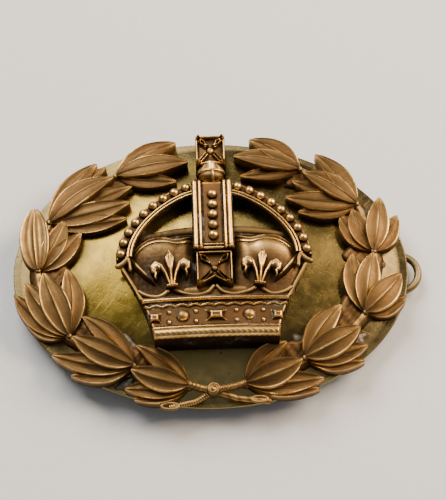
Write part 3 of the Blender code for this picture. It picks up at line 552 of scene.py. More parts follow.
def leaf(base, spec):
    """One laurel leaf. u runs from base to tip and v across it. Its half width is
    half its breadth times a power of the sine of pi u, its spine bows aside by four
    bends u(1 - u), and its height is the relief times an arch along u, plus a narrow
    rim at the edge and midrib at the middle, less a hollow in each half."""
    tip_x, tip_y, breadth, share, bow, *blunt = spec
    power = blunt[0] if blunt else 0.78
    share = 1.0 - 0.72 * (1.0 - share)
    spread = np.linspace(-1.0, 1.0, 37)
    u = (0.5 - 0.5 * np.cos(np.pi * np.linspace(0.02, 1.0, 52)))[:, None]
    v = (spread - 0.095 * np.sin(2.0 * np.pi * spread))[None, :]
    base, tip = np.array(base), np.array([tip_x, tip_y])
    ahead = tip - base
    length = np.linalg.norm(ahead)
    aside = np.array([-ahead[1], ahead[0]]) / length
    half = 1.06 * breadth / 2 * (0.05 + 0.95 * np.sin(np.pi * u ** 0.92) ** power)
    lean = aside[:, None, None] * (half * v + bow * 4.0 * u * (1.0 - u))
    x = base[0] + ahead[0] * u + lean[0]
    y = base[1] + ahead[1] * u + lean[1]
    x, y = turned(x, y, WREATH_TURN)
    along = 0.66 + 0.34 * np.sin(np.pi * (0.10 + 0.78 * u))
    rim = LEAF_RIM * np.exp(-(((np.abs(v) - 0.90) / 0.065) ** 2)) * np.clip(half / 0.7, 0.3, 1.0)
    rib = LEAF_RIM * np.exp(-((v / 0.060) ** 2)) * (1.0 - 0.6 * u ** 3)
    hollow = np.sin(np.pi * np.clip(np.abs(v) / 0.90, 0.0, 1.0)) ** 1.2 * np.sin(np.pi * u) ** 0.5
    veins = (VEIN_BOLD if blunt else VEIN_FINE) * np.cos(17.5 * v) * (np.abs(v) < 0.80) * np.sin(np.pi * u)
    fall = LEAF_EDGE_FALL * np.clip((np.abs(v) - 0.94) / 0.06, 0.0, 1.0) ** 2
    tilt = (0.06 - 0.14 * bow) * half * v
    z = dome(x, y) + LEAF_RELIEF * share * along + 0.07 * (1.0 - v ** 2)
    z += rim + rib - LEAF_HOLLOW * hollow + veins - fall + tilt
    grain = np.stack(np.broadcast_arrays(length * u, 2.0 * v + 9.0 * share, 0.0), -1)
    points, faces, worn, deep, grain = casting(x, y, z, 0.035, grain)
    line = 0.9 * np.exp(-(((np.abs(v) - 0.91) / 0.075) ** 2)) + 0.62 * np.exp(-((v / 0.065) ** 2))
    line = line + 10.0 * np.clip(veins, 0.0, 1.0) * (len(blunt) > 0)
    tip_glow = 0.40 * soft(u - 0.86, 0.14) + 0.10 * share
    worn[:, :-UNDERSIDE] = np.clip(line + tip_glow, 0.0, 1.0)
    deep[:, :-UNDERSIDE] = 0.25 * deep[:, :-UNDERSIDE] + 0.45 * soft(0.16 - u, 0.16)
    return points, faces, worn, deep, grain


def mound(x, y, across, along, height, turn=0.0):
    """Low puddle: an oval whose height falls off as one less the share squared."""
    share = np.linspace(0.03, 1.0, 9)[:, None]
    angle = np.linspace(0.0, 2.0 * np.pi, 26, endpoint=False)[None, :]
    ring = share * (1.0 + 0.18 * np.sin(3.0 * angle + x) + 0.10 * np.sin(5.0 * angle + y))
    px, py = turned(across * ring * np.cos(angle), along * ring * np.sin(angle), turn)
    px, py = turned(x + px, y + py, WREATH_TURN)
    lumps = 0.05 * np.sin(4.0 * px) * np.cos(3.7 * py)
    z = dome(px, py) + 0.55 * height * (1.0 - share ** 3) - 0.25 * share ** 6 + lumps
    under = np.stack([px[-1:], py[-1:], dome(px[-1:], py[-1:]) - SUNK], -1)
    rings = np.concatenate([np.stack([px, py, z], -1), under], 0)
    deep = np.repeat([0.30, 1.0], (8, 2))[:, None]
    return *skin(rings), 0.0, deep, rings, 1


def ball(x, y, z, radius, squash=1.0, rings=12, sides=20):
    """Bead: rings at equal turns from pole to pole, flattened by squash along z."""
    turn = np.linspace(0.12, np.pi - 0.12, rings)[:, None]
    angle = np.linspace(0.0, 2.0 * np.pi, sides, endpoint=False)[None, :]
    px = x + radius * np.sin(turn) * np.cos(angle)
    py = y + radius * np.sin(turn) * np.sin(angle)
    pz = z + radius * squash * np.cos(turn)
    loops = np.stack(np.broadcast_arrays(px, py, pz), -1)
    worn, deep = np.clip(1.6 * np.cos(turn) - 0.5, 0.0, 1.0), np.clip(0.45 - 1.3 * np.cos(turn), 0.0, 1.0)
    return *skin(loops), worn, deep, loops


def stem(sprays):
    """Stem of a branch: wire through the sprays' bases, with its share of the oval and
    its angle run straight from one base to the next, standing clear above the plate."""
    knots = np.array([base for base, _ in sprays])
    place = np.linspace(0.0, len(knots) - 1.0, 15 * (len(knots) - 1) + 1)
    radial = np.hypot(knots[:, 0] / half_length, knots[:, 1] / half_width)
    angle = np.unwrap(np.arctan2(knots[:, 1] / half_width, knots[:, 0] / half_length))
    order = np.arange(len(knots))
    share, turn = np.interp(place, order, radial), np.interp(place, order, angle)
    x, y = turned(half_length * share * np.cos(turn), half_width * share * np.sin(turn), WREATH_TURN)
    return wire_skin(np.stack([x, y, dome(x, y) + STEM_HEIGHT], -1), STEM_RADIUS, 14, 0.06, 40.0)


def web_skin(sprays):
    """Web the leaves were cast on: low, as wide as the sprays and scalloped where one
    gives way to the next. w runs across it and the stem's oval runs along it."""
    knots = np.array([base for base, _ in sprays])
    turn = np.unwrap(np.arctan2(knots[:, 1] / half_width, knots[:, 0] / half_length))
    share = np.hypot(knots[:, 0] / half_length, knots[:, 1] / half_width)
    place = np.linspace(0.35, len(knots) - 0.75, 150)
    order = np.arange(len(knots))
    outward = np.interp(place, order, share)
    angle = np.interp(place, order, turn)
    w = np.linspace(-1.0, 1.0, 25)[None, :]
    half = (2.0 + 0.45 * np.cos(2.0 * np.pi * place) + 0.2 * np.sin(9.0 * place))[:, None]
    reach = outward[:, None] + (w - 0.55) * half / half_width
    x, y = half_length * reach * np.cos(angle)[:, None], half_width * reach * np.sin(angle)[:, None]
    x, y = turned(x, y, WREATH_TURN)
    lumps = 0.10 * np.sin(2.9 * x + 0.7) * np.cos(2.3 * y) + 0.05 * np.sin(6.1 * x - 4.9 * y)
    z = dome(x, y) + WEB_HEIGHT * (1.0 - w ** 6) + 0.10 + lumps
    points, faces, worn, deep, grain = casting(x, y, z, 0.2)
    return points, faces, 0.15 * worn, np.clip(0.30 + 0.5 * deep, 0.0, 1.0), grain


wreath_metal = aged_material(
    "wreath_gilding_metal", (0.74, 0.45, 0.15), (0.082, 0.042, 0.015), (0.046, 0.025, 0.010), 0.7, 1.0, 0.7
)
solder = aged_material(
    "dull_solder", (0.20, 0.18, 0.15), (0.150, 0.130, 0.100), (0.085, 0.070, 0.052), 0.8, 0.0, 1.0
)
# Each puddle is its place, half widths across and along, height and turn.
SOLDER = {
    "left": ((-27.6, -1.6, 2.6, 2.4, 1.2, 0.3), (-24.2, -9.0, 1.6, 2.8, 0.9, 0.5),
             (-13.4, -14.9, 1.8, 3.0, 1.0, 0.9), (-25.6, 8.4, 2.2, 2.2, 1.0, 0.0),
             (-15.6, 15.6, 2.4, 1.8, 0.9, 0.2), (-14.0, -21.0, 2.0, 1.5, 0.8, 0.2)),
    "right": ((27.2, 1.4, 2.6, 2.6, 1.2, 0.0), (24.2, -7.0, 2.0, 2.2, 1.0, 0.2),
              (15.2, -14.0, 2.2, 1.8, 1.0, 0.4), (26.6, 10.6, 2.4, 2.2, 1.1, 0.0),
              (14.6, 17.4, 2.2, 1.6, 1.0, 0.0), (24.8, -12.8, 2.0, 1.4, 0.8, 0.3)),
}
for side, sprays in (("left", LEFT_SPRAYS), ("right", RIGHT_SPRAYS)):
    skins = [stem(sprays), web_skin(sprays)]
    for base, leaves in sprays:
        skins += [leaf(base, spec) for spec in leaves]
        knob_x, knob_y = turned(*base, WREATH_TURN)
        knob = ball(knob_x, knob_y, dome(knob_x, knob_y) + KNOB_HEIGHT, KNOB_RADIUS, 0.7)
        skins.append((*knob[:2], 0.4 * knob[2], *knob[3:]))
    skins += [mound(*spec) for spec in SOLDER[side]]
    branch = piece("branch_" + side, skins, wreath_metal, solder)
    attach(branch, "badge")
    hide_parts("laurel_branch_" + side)

# ---------------------------------------------------------------------------
# Tie. Where the two branches meet, the stems are bound with twisted wire and a
# small knot, and two cut stalks with looped ends stand out below it. Cast in one
# with the wreath, of the same metal.
# ---------------------------------------------------------------------------
KNOT = (0.5, -22.6)
KNOT_RADIUS = 1.15
KNOT_HEIGHT = 1.75
BINDING_RADIUS = 0.52
STALK_RADII = (0.46, 0.50)
SWIRL_WIRE = 0.17
LOOP_WIRE = 0.27
LOOP_HALVES = (1.7, 0.62)
LOOP_HEIGHT = 1.35


def over_plate(stops, lift, count=40):
    """Path that follows straight runs between stops, each lift above the plate."""
    stops = np.array(stops, float)
    place = np.linspace(0.0, len(stops) - 1.0, count)
    x, y, raised = (np.interp(place, range(len(stops)), column) for column in (*stops.T, lift))
    x, y = turned(x, y, WREATH_TURN)
    return np.stack([x, y, dome(x, y) + raised], -1)


left_binding = over_plate([(-4.6, -21.2), (-1.6, -22.2), KNOT], (1.4, 1.6, 1.6), 70)
right_binding = over_plate([(6.8, -20.9), (3.8, -21.9), KNOT], (1.4, 1.6, 1.6), 70)
left_stalk = over_plate([KNOT, (-2.4, -24.2), (-6.6, -25.3)], (1.1, 1.0, 1.1), 70)
right_stalk = over_plate([KNOT, (4.6, -23.6), (9.8, -24.2)], (1.1, 1.0, 1.1), 70)
knot_x, knot_y = turned(*KNOT, WREATH_TURN)
knot_z = dome(knot_x, knot_y) + KNOT_HEIGHT
swirl = np.linspace(0.0, 3.4 * np.pi, 60)
swirl_r = 1.06 - 0.84 * swirl / swirl[-1]
swirl_rise = 1.06 * np.sqrt(np.clip(1.0 - (swirl_r / KNOT_RADIUS) ** 2, 0.05, 1.0))
swirl_path = [knot_x + swirl_r * np.cos(swirl), knot_y + swirl_r * np.sin(swirl), knot_z + swirl_rise]
tie_skins = [
    wire_skin(left_binding, BINDING_RADIUS, 18, 0.24, 30.0),
    wire_skin(right_binding, BINDING_RADIUS, 18, 0.24, 30.0),
    wire_skin(left_stalk, STALK_RADII[0], 16, 0.20, 22.0),
    wire_skin(right_stalk, STALK_RADII[1], 16, 0.06, 6.0),
    ball(knot_x, knot_y, knot_z, KNOT_RADIUS, 0.85, 16, 26),
    wire_skin(np.stack(swirl_path, -1), SWIRL_WIRE, 10),
]
for end_x, end_y, size in ((-6.7, -25.2, 0.85), (8.2, -23.9, 0.8)):
    end_x, end_y = turned(end_x, end_y, WREATH_TURN)
    round_end = np.linspace(0.0, 2.0 * np.pi, 40)
    lip_x = end_x + LOOP_HALVES[0] * size * np.cos(round_end)
    lip_y = end_y + LOOP_HALVES[1] * size * np.sin(round_end)
    lip = np.stack(np.broadcast_arrays(lip_x, lip_y, dome(end_x, end_y) + LOOP_HEIGHT), -1)
    tie_skins.append(wire_skin(lip, LOOP_WIRE, 10))
tie = piece("tie_of_branches", tie_skins, wreath_metal)
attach(tie, "badge")
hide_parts("stem_tie")

# ---------------------------------------------------------------------------
# Crown: band. The struck circlet of the crown, of the same metal as the wreath
# but more worn. A thick roll at its foot, a row of jewels, a scalloped moulding,
# and a cross between two lilies that stand up in front of the cap. On the crown p
# runs across from its axis, and q up it from the level of the plate's centre.
# ---------------------------------------------------------------------------
CROWN_X = 0.5
CROWN_LEAN = math.radians(1.1)
CROWN_MIDDLE = (CROWN_X, 4.7)
CROWN_HEIGHT = 8.4
CROWN_BOW = 1.2
CROWN_FALL = 1.5
ARCH_FOOT = 0.6
CROSSING = 14.9
BAND_FOOT, BAND_TOP = -15.25, -7.3
FOOT_HALF, SPREAD = 10.45, 5.75
PANEL_DEPTH = 0.85
ROLL_Q, ROLL_HALF, ROLL_RISE = -14.30, 0.98, 1.25
TOP_MOULDING_Q, LOW_MOULDING_Q = -8.05, -12.95
SCALLOP_Q, SCALLOP_DROP, SCALLOP_PITCH = -9.25, 0.34, 2.2
JEWEL_Q, END_JEWEL_P, END_JEWEL_Q = -11.0, 10.35, -11.1
BOSS_P, BOSS_Q, BOSS_RADIUS = 5.6, -10.95, 1.00
DOT_PLACES = (-7.9, -3.4, 3.4, 7.9)
DOT_RADIUS = 0.36
SWAG_RADIUS, SWAG_DEPTH = 0.33, 1.25


def band_half(q):
    """Half width of the band at q: its foot's, plus a power of the share of the way
    up to the arches' feet."""
    return FOOT_HALF + SPREAD * (np.clip(q + 15.3, 0.0, 14.7) / 14.7) ** 1.5


def crown_place(p, q):
    """Place on the plate of the point p across the crown's axis and q up it."""
    return turned(CROWN_X + p, q, CROWN_LEAN, CROWN_MIDDLE)


def crown_face(p, q):
    """Height of the crown's face: bowed across it and falling toward the orb."""
    upward = np.clip(q - ARCH_FOOT, 0.0, None) / (CROSSING - ARCH_FOOT)
    return CROWN_HEIGHT - CROWN_BOW * (p / 16.1) ** 2 - CROWN_FALL * upward


def crown_casting(p, q, depth, fine=0.06):
    """Casting whose face lies depth below the crown's face."""
    x, y = crown_place(p, q)
    return casting(x, y, crown_face(p, q) - depth, fine)


def ridge(offset, half, rise):
    """Rounded bar: rise times the root of one less the square of offset over half."""
    return rise * np.sqrt(np.clip(1.0 - (offset / half) ** 2, 0.0, 1.0))


def jewel(p, q, half_p, half_q, pinch):
    """Cushion jewel with sides that draw in by pinch toward their middles."""
    a, b = np.abs(p) / half_p, np.abs(q) / half_q
    draw_a, draw_b = (1.0 - pinch * (1.0 - other ** 2).clip(0.0, 1.0) for other in (b, a))
    return soft(1.0 - np.maximum(a / draw_a, b / draw_b), 0.45)


def band_skin():
    """Circlet: p runs from side to side and q from the foot up. Its depth below the
    crown's face is that of the panel less the corded roll, two mouldings, a scalloped
    fillet that follows the size of a sine, three jewels, two bosses and eight dots."""
    q = np.linspace(BAND_FOOT, BAND_TOP, 118)[:, None]
    s = np.linspace(-1.0, 1.0, 321)[None, :]
    half = band_half(q)
    p = s * half
    cords = 0.045 * np.sin(7.0 * p + 5.0 * q) * soft(ROLL_Q - q, 0.4)
    depth = PANEL_DEPTH - ridge(q - ROLL_Q, ROLL_HALF, ROLL_RISE) + cords + 0.5 * soft(-14.9 - q, 0.4)
    depth -= ridge(q - TOP_MOULDING_Q, 0.36, 0.75) + ridge(q - LOW_MOULDING_Q, 0.22, 0.30)
    scallop = SCALLOP_Q + SCALLOP_DROP * np.abs(np.sin(np.pi * (p + 0.2) / SCALLOP_PITCH))
    depth -= ridge(q - scallop, 0.17, 0.34) + 0.18 * soft(q - scallop, 0.2)
    depth -= 0.85 * jewel(p, q - JEWEL_Q, 2.25, 1.25, 0.40)
    for hand in (-1.0, 1.0):
        depth -= 0.8 * jewel(p - hand * END_JEWEL_P, q - END_JEWEL_Q, 1.5, 1.15, 0.40)
        depth -= ridge(np.hypot(p - hand * BOSS_P, q - BOSS_Q), BOSS_RADIUS, 0.85)
    for middle in DOT_PLACES:
        for height in (-10.15, -11.95):
            depth -= ridge(np.hypot(p - middle, q - height), DOT_RADIUS, 0.34)
    edge = half * (1.0 - np.abs(s))
    depth += 0.35 * (1.0 - soft(edge, 0.35)) - 0.35 * (q < -13.4) * soft(edge + 0.5, 0.6)
    points, faces, worn, deep, grain = crown_casting(p, q, depth)
    # The roll's bright band is wear and painted highlight together.
    worn[:, :-UNDERSIDE] = np.maximum(worn[:, :-UNDERSIDE], 0.70 * soft(0.95 - np.abs(q + 14.15), 0.45))
    deep[:, :-UNDERSIDE] = np.maximum(deep[:, :-UNDERSIDE], 0.45 * soft(0.6 - np.abs(q + 9.9), 0.8))
    return points, faces, worn, deep, grain


LOBE_TOP = 3.85
LOBE_P, LOBE_HALF = 8.9, 5.6
DIP_P, DIP_HALF = 6.3, 1.5
FALL_P, FALL_RUN = 9.0, 5.4
LIP_RISE = 0.40
BACK_Q, BACK_RISE = 6.0, 1.15


def cap_top(p):
    """Height up the crown of the fold at the top of each lobe: level beside the centre
    arch, a bell curve lower where the cloth dips, and falling by a power at the end."""
    side = np.abs(p)
    dip = 0.50 * np.exp(-(((side - DIP_P) / DIP_HALF) ** 2))
    return LOBE_TOP - dip - 3.0 * np.clip((side - FALL_P) / FALL_RUN, 0.0, 1.1) ** 2.4


def cap_depth(p, q):
    """Depth of the cap below the crown's face. Two lobes bulge forward, the product
    of a power curve across and one up, with a thin fold along their tops and a
    crease. The far side of the cap is a low round ridge behind them."""
    side = np.abs(p)
    top = cap_top(p)
    below = top - q
    swell = np.clip(1.0 - (np.abs(side - LOBE_P) / LOBE_HALF) ** 3.0, 0.0, 1.0) ** 0.6
    fall = np.clip(1.0 - (np.clip(1.7 - below, 0.0, None) / 2.5) ** 2.2, 0.0, 1.0) ** 0.5
    sag = 1.0 - 0.35 * soft(0.3 - q, 5.5)
    crease = np.exp(-(((side - 6.1 - 0.30 * below) / 0.95) ** 2)) * soft(below, 0.9) * soft(q + 2.0, 2.5)
    lip = ridge(0.20 - below, 0.42, LIP_RISE) * soft(side - 3.2, 0.8) * soft(14.4 - side, 1.2)
    behind = q - BACK_Q + 0.011 * (side - 3.0) ** 2
    back = BACK_RISE * soft(-below - 0.1, 0.7)
    back += ridge(behind + 0.15, 0.75, 0.50) + ridge(behind + 1.05, 0.20, 0.14)
    base = 2.35 + 1.35 * soft(q + 2.5, 3.5)
    return base - (base - 0.95) * swell * fall * sag - back * (q > top) + 0.22 * crease - lip


def plaque(middle_p, middle_q, reach_p, reach_q, raised, lean=0.0, count=110):
    """Ornament that stands on the cap. Its height over the crown's face comes from
    raised(a, b); outside its outline it drops below the cap. The grid is a rectangle
    of the given reach, leaning with the ornament, and stops short of the band's edge."""
    across, upward = np.linspace(-reach_p, reach_p, count), np.linspace(-reach_q, reach_q, count)
    a, b = np.meshgrid(across, upward, indexing="ij")
    p, q = turned(a, b, lean)
    q = q + middle_q
    limit = band_half(q) - 0.35
    p = np.clip(p + middle_p, -limit, limit)
    height, inside = raised(a, b)
    under = cap_depth(p, q) + 0.5
    shown = soft(inside + 0.08, 0.20)
    points, faces, worn, deep, grain = crown_casting(p, q, under - (height + under) * shown, 0.05)
    worn[:, :-UNDERSIDE] = 0.85 * soft(height + 0.12, 0.50) * soft(inside, 0.12)
    deep[:, :-UNDERSIDE] = 0.7 - 0.7 * soft(height + 0.95, 0.40) * soft(inside + 0.05, 0.20)
    return points, faces, worn, deep, grain


def near(a, b, stops, radii):
    """Distance inside a tapering stroke: for the nearest run between stops, the
    radius there less the distance to the run."""
    best = np.full(a.shape, -9.0)
    for (a0, b0), (a1, b1), r0, r1 in zip(stops[:-1], stops[1:], radii[:-1], radii[1:]):
        da, db = a1 - a0, b1 - b0
        t = np.clip(((a - a0) * da + (b - b0) * db) / (da * da + db * db), 0.0, 1.0)
        best = np.maximum(best, r0 + (r1 - r0) * t - np.hypot(a - a0 - da * t, b - b0 - db * t))
    return best


def lily(a, b):
    """Lily: a pointed middle petal with a ridge down it, two side petals that curl
    over into bosses, and a small knot at the foot. Height grows as the root of the
    distance inside each stroke."""
    side = np.abs(a)
    petal = near(a, b, [(0, -3.3), (0, -0.6), (0, 1.7), (0, 3.7)], (0.36, 0.42, 0.92, 0.03))
    curl_line = [(0.3, -3.2), (0.85, -1.0), (1.60, 0.65), (2.40, 1.15)]
    curl_line += [(3.10, 0.60), (3.00, -0.30), (2.45, -0.65)]
    curl = near(side, b, curl_line, (0.28, 0.36, 0.46, 0.52, 0.48, 0.40, 0.32))
    boss = 0.92 - np.hypot(side - 2.42, b - 0.30)
    tail = near(side, b, [(2.50, -0.6), (2.70, -1.3), (2.45, -2.0)], (0.38, 0.30, 0.08))
    knot = near(a, b, [(-0.75, -3.2), (0.75, -3.2)], (0.38, 0.38))
    inside = np.maximum.reduce([petal, curl, boss, tail, knot])
    height = 0.95 * ridge(np.clip(inside, 0.0, 0.50) - 0.50, 0.50, 1.0) - 0.55
    height -= 0.22 * soft(petal - 0.30, 0.25)
    height += 0.30 * np.exp(-((a / 0.13) ** 2)) * (petal > 0.1)
    height -= 0.65 * np.exp(-((np.hypot(side - 2.15, b + 0.20) / 0.34) ** 2)) * (petal < 0.0)
    return height, inside


def cross_block(reach, gap, notch):
    """Square cross whose four arms widen from the middle to the sides. Each arm is a
    sunk panel with a raised rim along its outer edge and along the diagonals, the
    upper gaps hold a pointed loop, and a notch rises into the foot."""
    def raised(a, b):
        u, v = np.maximum(np.abs(a), np.abs(b)), np.minimum(np.abs(a), np.abs(b))
        foot = b + reach - notch * np.clip(1.0 - np.abs(a) / (0.8 * reach), 0.0, 1.0)
        inside = np.minimum(np.minimum(reach - u, reach - v), foot)
        height = -0.62 + 0.10 * np.sin(2.2 * u) + ridge(inside - 0.24, 0.22, 0.85)
        lower = (b < 0.0) | (notch == 0.0)
        height = height + ridge(u - v - 0.36, 0.20, 0.70) * (u > 0.8) * lower
        height = height - 0.15 * soft(0.30 - (u - v), 0.2) * (u > 0.9)
        loop_line = [(gap, gap), (gap * 0.68, gap * 0.68), (0.45, 0.45)]
        loop = near(np.abs(a), b, loop_line, (0.03, 0.19 * reach, 0.06))
        height = np.where(loop > 0.0, soft(loop, 0.14) - 0.85 * soft(loop - 0.20, 0.14) - 0.62, height)
        height = height + ridge(np.hypot(a, b), 0.60, 0.62)
        return height, inside
    return raised


def even_steps(stops):
    """Thirty places, evenly spaced in number, along the straight runs between stops."""
    place = np.linspace(0.0, len(stops) - 1.0, 30)
    return [np.interp(place, range(len(stops)), values) for values in np.transpose(stops)]


def on_crown(p, q, depth):
    """Points of the line p, q at a depth under the crown's face."""
    x, y = crown_place(p, q)
    return np.stack([x, y, crown_face(p, q) - depth], -1)


def swag_skin(stops):
    """Fillet that hangs in an arc on the band's shoulder: wire along the path through
    stops, where each place becomes the mean of seven."""
    padded = [np.pad(values, 3, mode="edge") for values in even_steps(stops)]
    p, q = (np.convolve(values, np.ones(7) / 7, "valid") for values in padded)
    return wire_skin(on_crown(p, q, SWAG_DEPTH), SWAG_RADIUS, 12)


def shoulder_skin():
    """Shoulder between the band's moulding and the cap, one step lower: its depth
    grows by smooth steps inward from each edge and upward."""
    q = np.linspace(-7.9, -1.0, 42)[:, None]
    half = band_half(q) - 0.05
    p = np.linspace(-1.0, 1.0, 120)[None, :] * half
    edge = half - np.abs(p)
    depth = 1.15 + 0.45 * soft(edge - 0.3, 0.6) + 1.1 * soft(q + 5.8, 2.2) * soft(edge - 0.6, 0.8)
    points, faces, worn, deep, grain = crown_casting(p, q, depth)
    return points, faces, 0.25 * worn, deep, grain


crown_metal = aged_material(
    "crown_gilding_metal", (0.86, 0.53, 0.18), (0.076, 0.040, 0.015), (0.042, 0.023, 0.010), 0.8, 0.0, 0.5
)
INNER_SWAG = ((0.2, -5.3), (1.2, -6.6), (3.2, -7.1), (5.4, -6.6), (6.9, -5.8))
OUTER_SWAG = ((7.8, -5.9), (9.2, -7.0), (10.8, -6.9), (12.0, -6.4), (12.9, -5.7))


def half_leaf(hand):
    """Half ornament at the end of the band: a broad stroke that sweeps down inward."""
    def raised(a, b):
        sweep = [(1.9, 2.5), (0.9, 0.7), (-0.5, -1.0), (-2.0, -2.5)]
        inside = near(hand * a, b, sweep, (0.10, 0.50, 0.46, 0.16))
        return 0.90 * soft(inside, 0.42) - 0.65, inside
    return raised


swags = []
for hand in (-1.0, 1.0):
    swags += [swag_skin([(hand * p, q) for p, q in line]) for line in (INNER_SWAG, OUTER_SWAG)]
ornaments = [
    plaque(0.0, -2.6, 3.35, 3.55, cross_block(3.1, 2.6, 1.35)),
    plaque(-7.45, -2.30, 3.9, 4.0, lily, 0.07),
    plaque(7.95, -2.30, 3.9, 4.0, lily, -0.12),
    plaque(-12.2, -2.2, 2.6, 3.1, half_leaf(-1.0), 0.0, 70),
    plaque(12.2, -2.2, 2.6, 3.1, half_leaf(1.0), 0.0, 70),
]
band = piece("crown_circlet", [band_skin(), shoulder_skin(), *swags, *ornaments], crown_metal)
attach(band, "badge")
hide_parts("crown_band")

# ---------------------------------------------------------------------------
# Crown: cap. The puffed cloth inside the crown, struck in the same metal as two
# full lobes, with the far side showing behind them. The tops of the lobes are rubbed
# and carry painted highlight, the right one more than the left, and painted shade
# darkens the left side.
# ---------------------------------------------------------------------------
CAP_FOOT = -7.6
CAP_STATIONS = (-7.7, -5.0, -0.6, 3.0, 6.0)
CAP_HALVES = (11.9, 13.7, 15.3, 14.2, 11.9)


def cap_skin():
    """Cap: p runs across between the arches and q up it, at the cap's depth. Wear and
    painted highlight come and go by smooth steps: on the crown of each lobe, more on the
    right lobe, and along its fold. Grime darkens it where it lies deep and lower down,
    and painted shade darkens its left side."""
    climb = np.linspace(0.0, 1.0, 150)[:, None]
    half = np.interp(CAP_FOOT + 13.9 * climb, CAP_STATIONS, CAP_HALVES)
    p = np.linspace(-1.0, 1.0, 241)[None, :] * half
    q = CAP_FOOT + climb * (14.1 - 0.017 * (np.abs(p) - 3.0) ** 2)
    points, faces, worn, deep, grain = crown_casting(p, q, cap_depth(p, q), 0.05)
    below = cap_top(p) - q
    # Rubbed lobe tops plus painted highlight: stronger on the right lobe, where the light falls, and a
    # bright band along each fold.
    wear_and_painted_highlight = soft(1.75 - cap_depth(p, q), 0.9) * soft(3.4 - below, 2.6) * (below > -0.3)
    wear_and_painted_highlight = wear_and_painted_highlight * (0.20 + 0.50 * soft(p, 2.0)) + 0.75 * soft(0.85 - np.abs(below - 0.15), 0.6)
    worn[:, :-UNDERSIDE] = np.clip(0.35 * worn[:, :-UNDERSIDE] + wear_and_painted_highlight, 0.0, 1.0)
    # Grime where the cap lies deep and lower down, and painted shade over the left side, which the light
    # reaches less.
    grime_and_painted_shade = 0.85 * soft(cap_depth(p, q) - 1.5, 1.3) + 0.45 * soft(1.2 - q, 2.5) + 0.45 * soft(-p - 3.0, 3.0)
    deep[:, :-UNDERSIDE] = np.clip(0.6 * deep[:, :-UNDERSIDE] + grime_and_painted_shade, 0.0, 1.0)
    return points, faces, worn, deep, grain


cap = piece("crown_cap_lobes", [cap_skin()], crown_metal)
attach(cap, "badge")
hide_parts("crown_cap")

# ---------------------------------------------------------------------------
# Crown: side arches. Two curved bars that rise from the ends of the band and meet
# under the orb, struck in one with them. Each carries nine beads along its outer
# edge and a double rim along its inner one.
# ---------------------------------------------------------------------------
BEAD_COUNT = 9
BEAD_RADIUS = 0.86
BEAD_DEPTH = 1.30
SHELF_DEPTH = 1.45
SCROLL_DEPTH = 1.0
OUTER_SCROLL = ((16.4, -0.9), (15.6, -0.5), (14.7, 0.3))
INNER_SCROLL = ((14.8, 0.6), (14.3, -0.5), (14.2, -1.7))


def arch_line(turn):
    """Line of the beads: p falls as a power of the cosine and q rises as a power of
    the sine, from the foot to the crossing."""
    return 3.6 + 12.3 * np.cos(turn) ** 1.5, 0.7 + 13.4 * np.sin(turn) ** 1.05


def arch_skins(hand):
    """Side arch: w runs across the bar from its outer edge inward. Its depth steps
    from the low shelf that carries the beads up to two thin rims. The beads stand at
    equal runs of the line, and two short scrolls end the arch at its foot."""
    turn = np.linspace(0.0, 0.5 * np.pi - 0.02, 110)[:, None]
    w = np.linspace(-0.82, 2.05, 46)[None, :]
    p, q = arch_line(turn)
    dp, dq = np.gradient(p[:, 0])[:, None], np.gradient(q[:, 0])[:, None]
    size = np.hypot(dp, dq)
    in_p, in_q = -dq / size, dp / size
    p = np.maximum(p + in_p * w, 2.6)
    q = q + in_q * w
    depth = SHELF_DEPTH - 0.55 * soft(w - 0.75, 0.30)
    depth -= ridge(w - 1.22, 0.24, 0.42) + ridge(w - 1.76, 0.26, 0.50)
    depth += 0.30 * (1.0 - soft(w + 0.82, 0.2)) + 0.3 * soft(w - 1.95, 0.1)
    points, faces, worn, deep, grain = crown_casting(hand * p, q, depth)
    deep[:, :-UNDERSIDE] = np.maximum(deep[:, :-UNDERSIDE], 0.62 * soft(0.85 - w, 0.3))
    skins = [(points, faces, worn, deep, grain)]
    steps = np.linspace(0.045, 1.0, 200) * 0.5 * np.pi
    bead_p, bead_q = arch_line(steps)
    run = np.concatenate([[0.0], np.cumsum(np.hypot(np.diff(bead_p), np.diff(bead_q)))])
    for turn in np.interp(np.linspace(0.0, run[-1] - 0.9, BEAD_COUNT), run, steps):
        p, q = arch_line(turn)
        skins.append(ball(*on_crown(hand * p, q, BEAD_DEPTH), BEAD_RADIUS, 1.05))
    for stops, radius in ((OUTER_SCROLL, 0.46), (INNER_SCROLL, 0.38)):
        p, q = even_steps(stops)
        skins.append(wire_skin(on_crown(hand * p, q, SCROLL_DEPTH), radius, 12))
    return skins


for side, hand in (("left", -1.0), ("right", 1.0)):
    arch = piece("crown_arch_beaded_" + side, arch_skins(hand), crown_metal)
    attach(arch, "badge")
    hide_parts("crown_arch_" + side)

# ---------------------------------------------------------------------------
# Crown: centre arch. The broad arch that comes over the front of the crown, struck
# proud of the rest in the same metal. It has a double rim on each side of a sunk
# panel, and five pearls down the panel.
# ---------------------------------------------------------------------------


FRONT_FOOT, FRONT_TOP = 1.0, 15.3
FRONT_HALF, FRONT_TAPER = 3.60, 0.10
PEARL_COUNT = 5
PEARL_FIRST, PEARL_PITCH = 3.75, 2.05
PEARL_RADIUS, PEARL_DEPTH = 0.90, 0.30


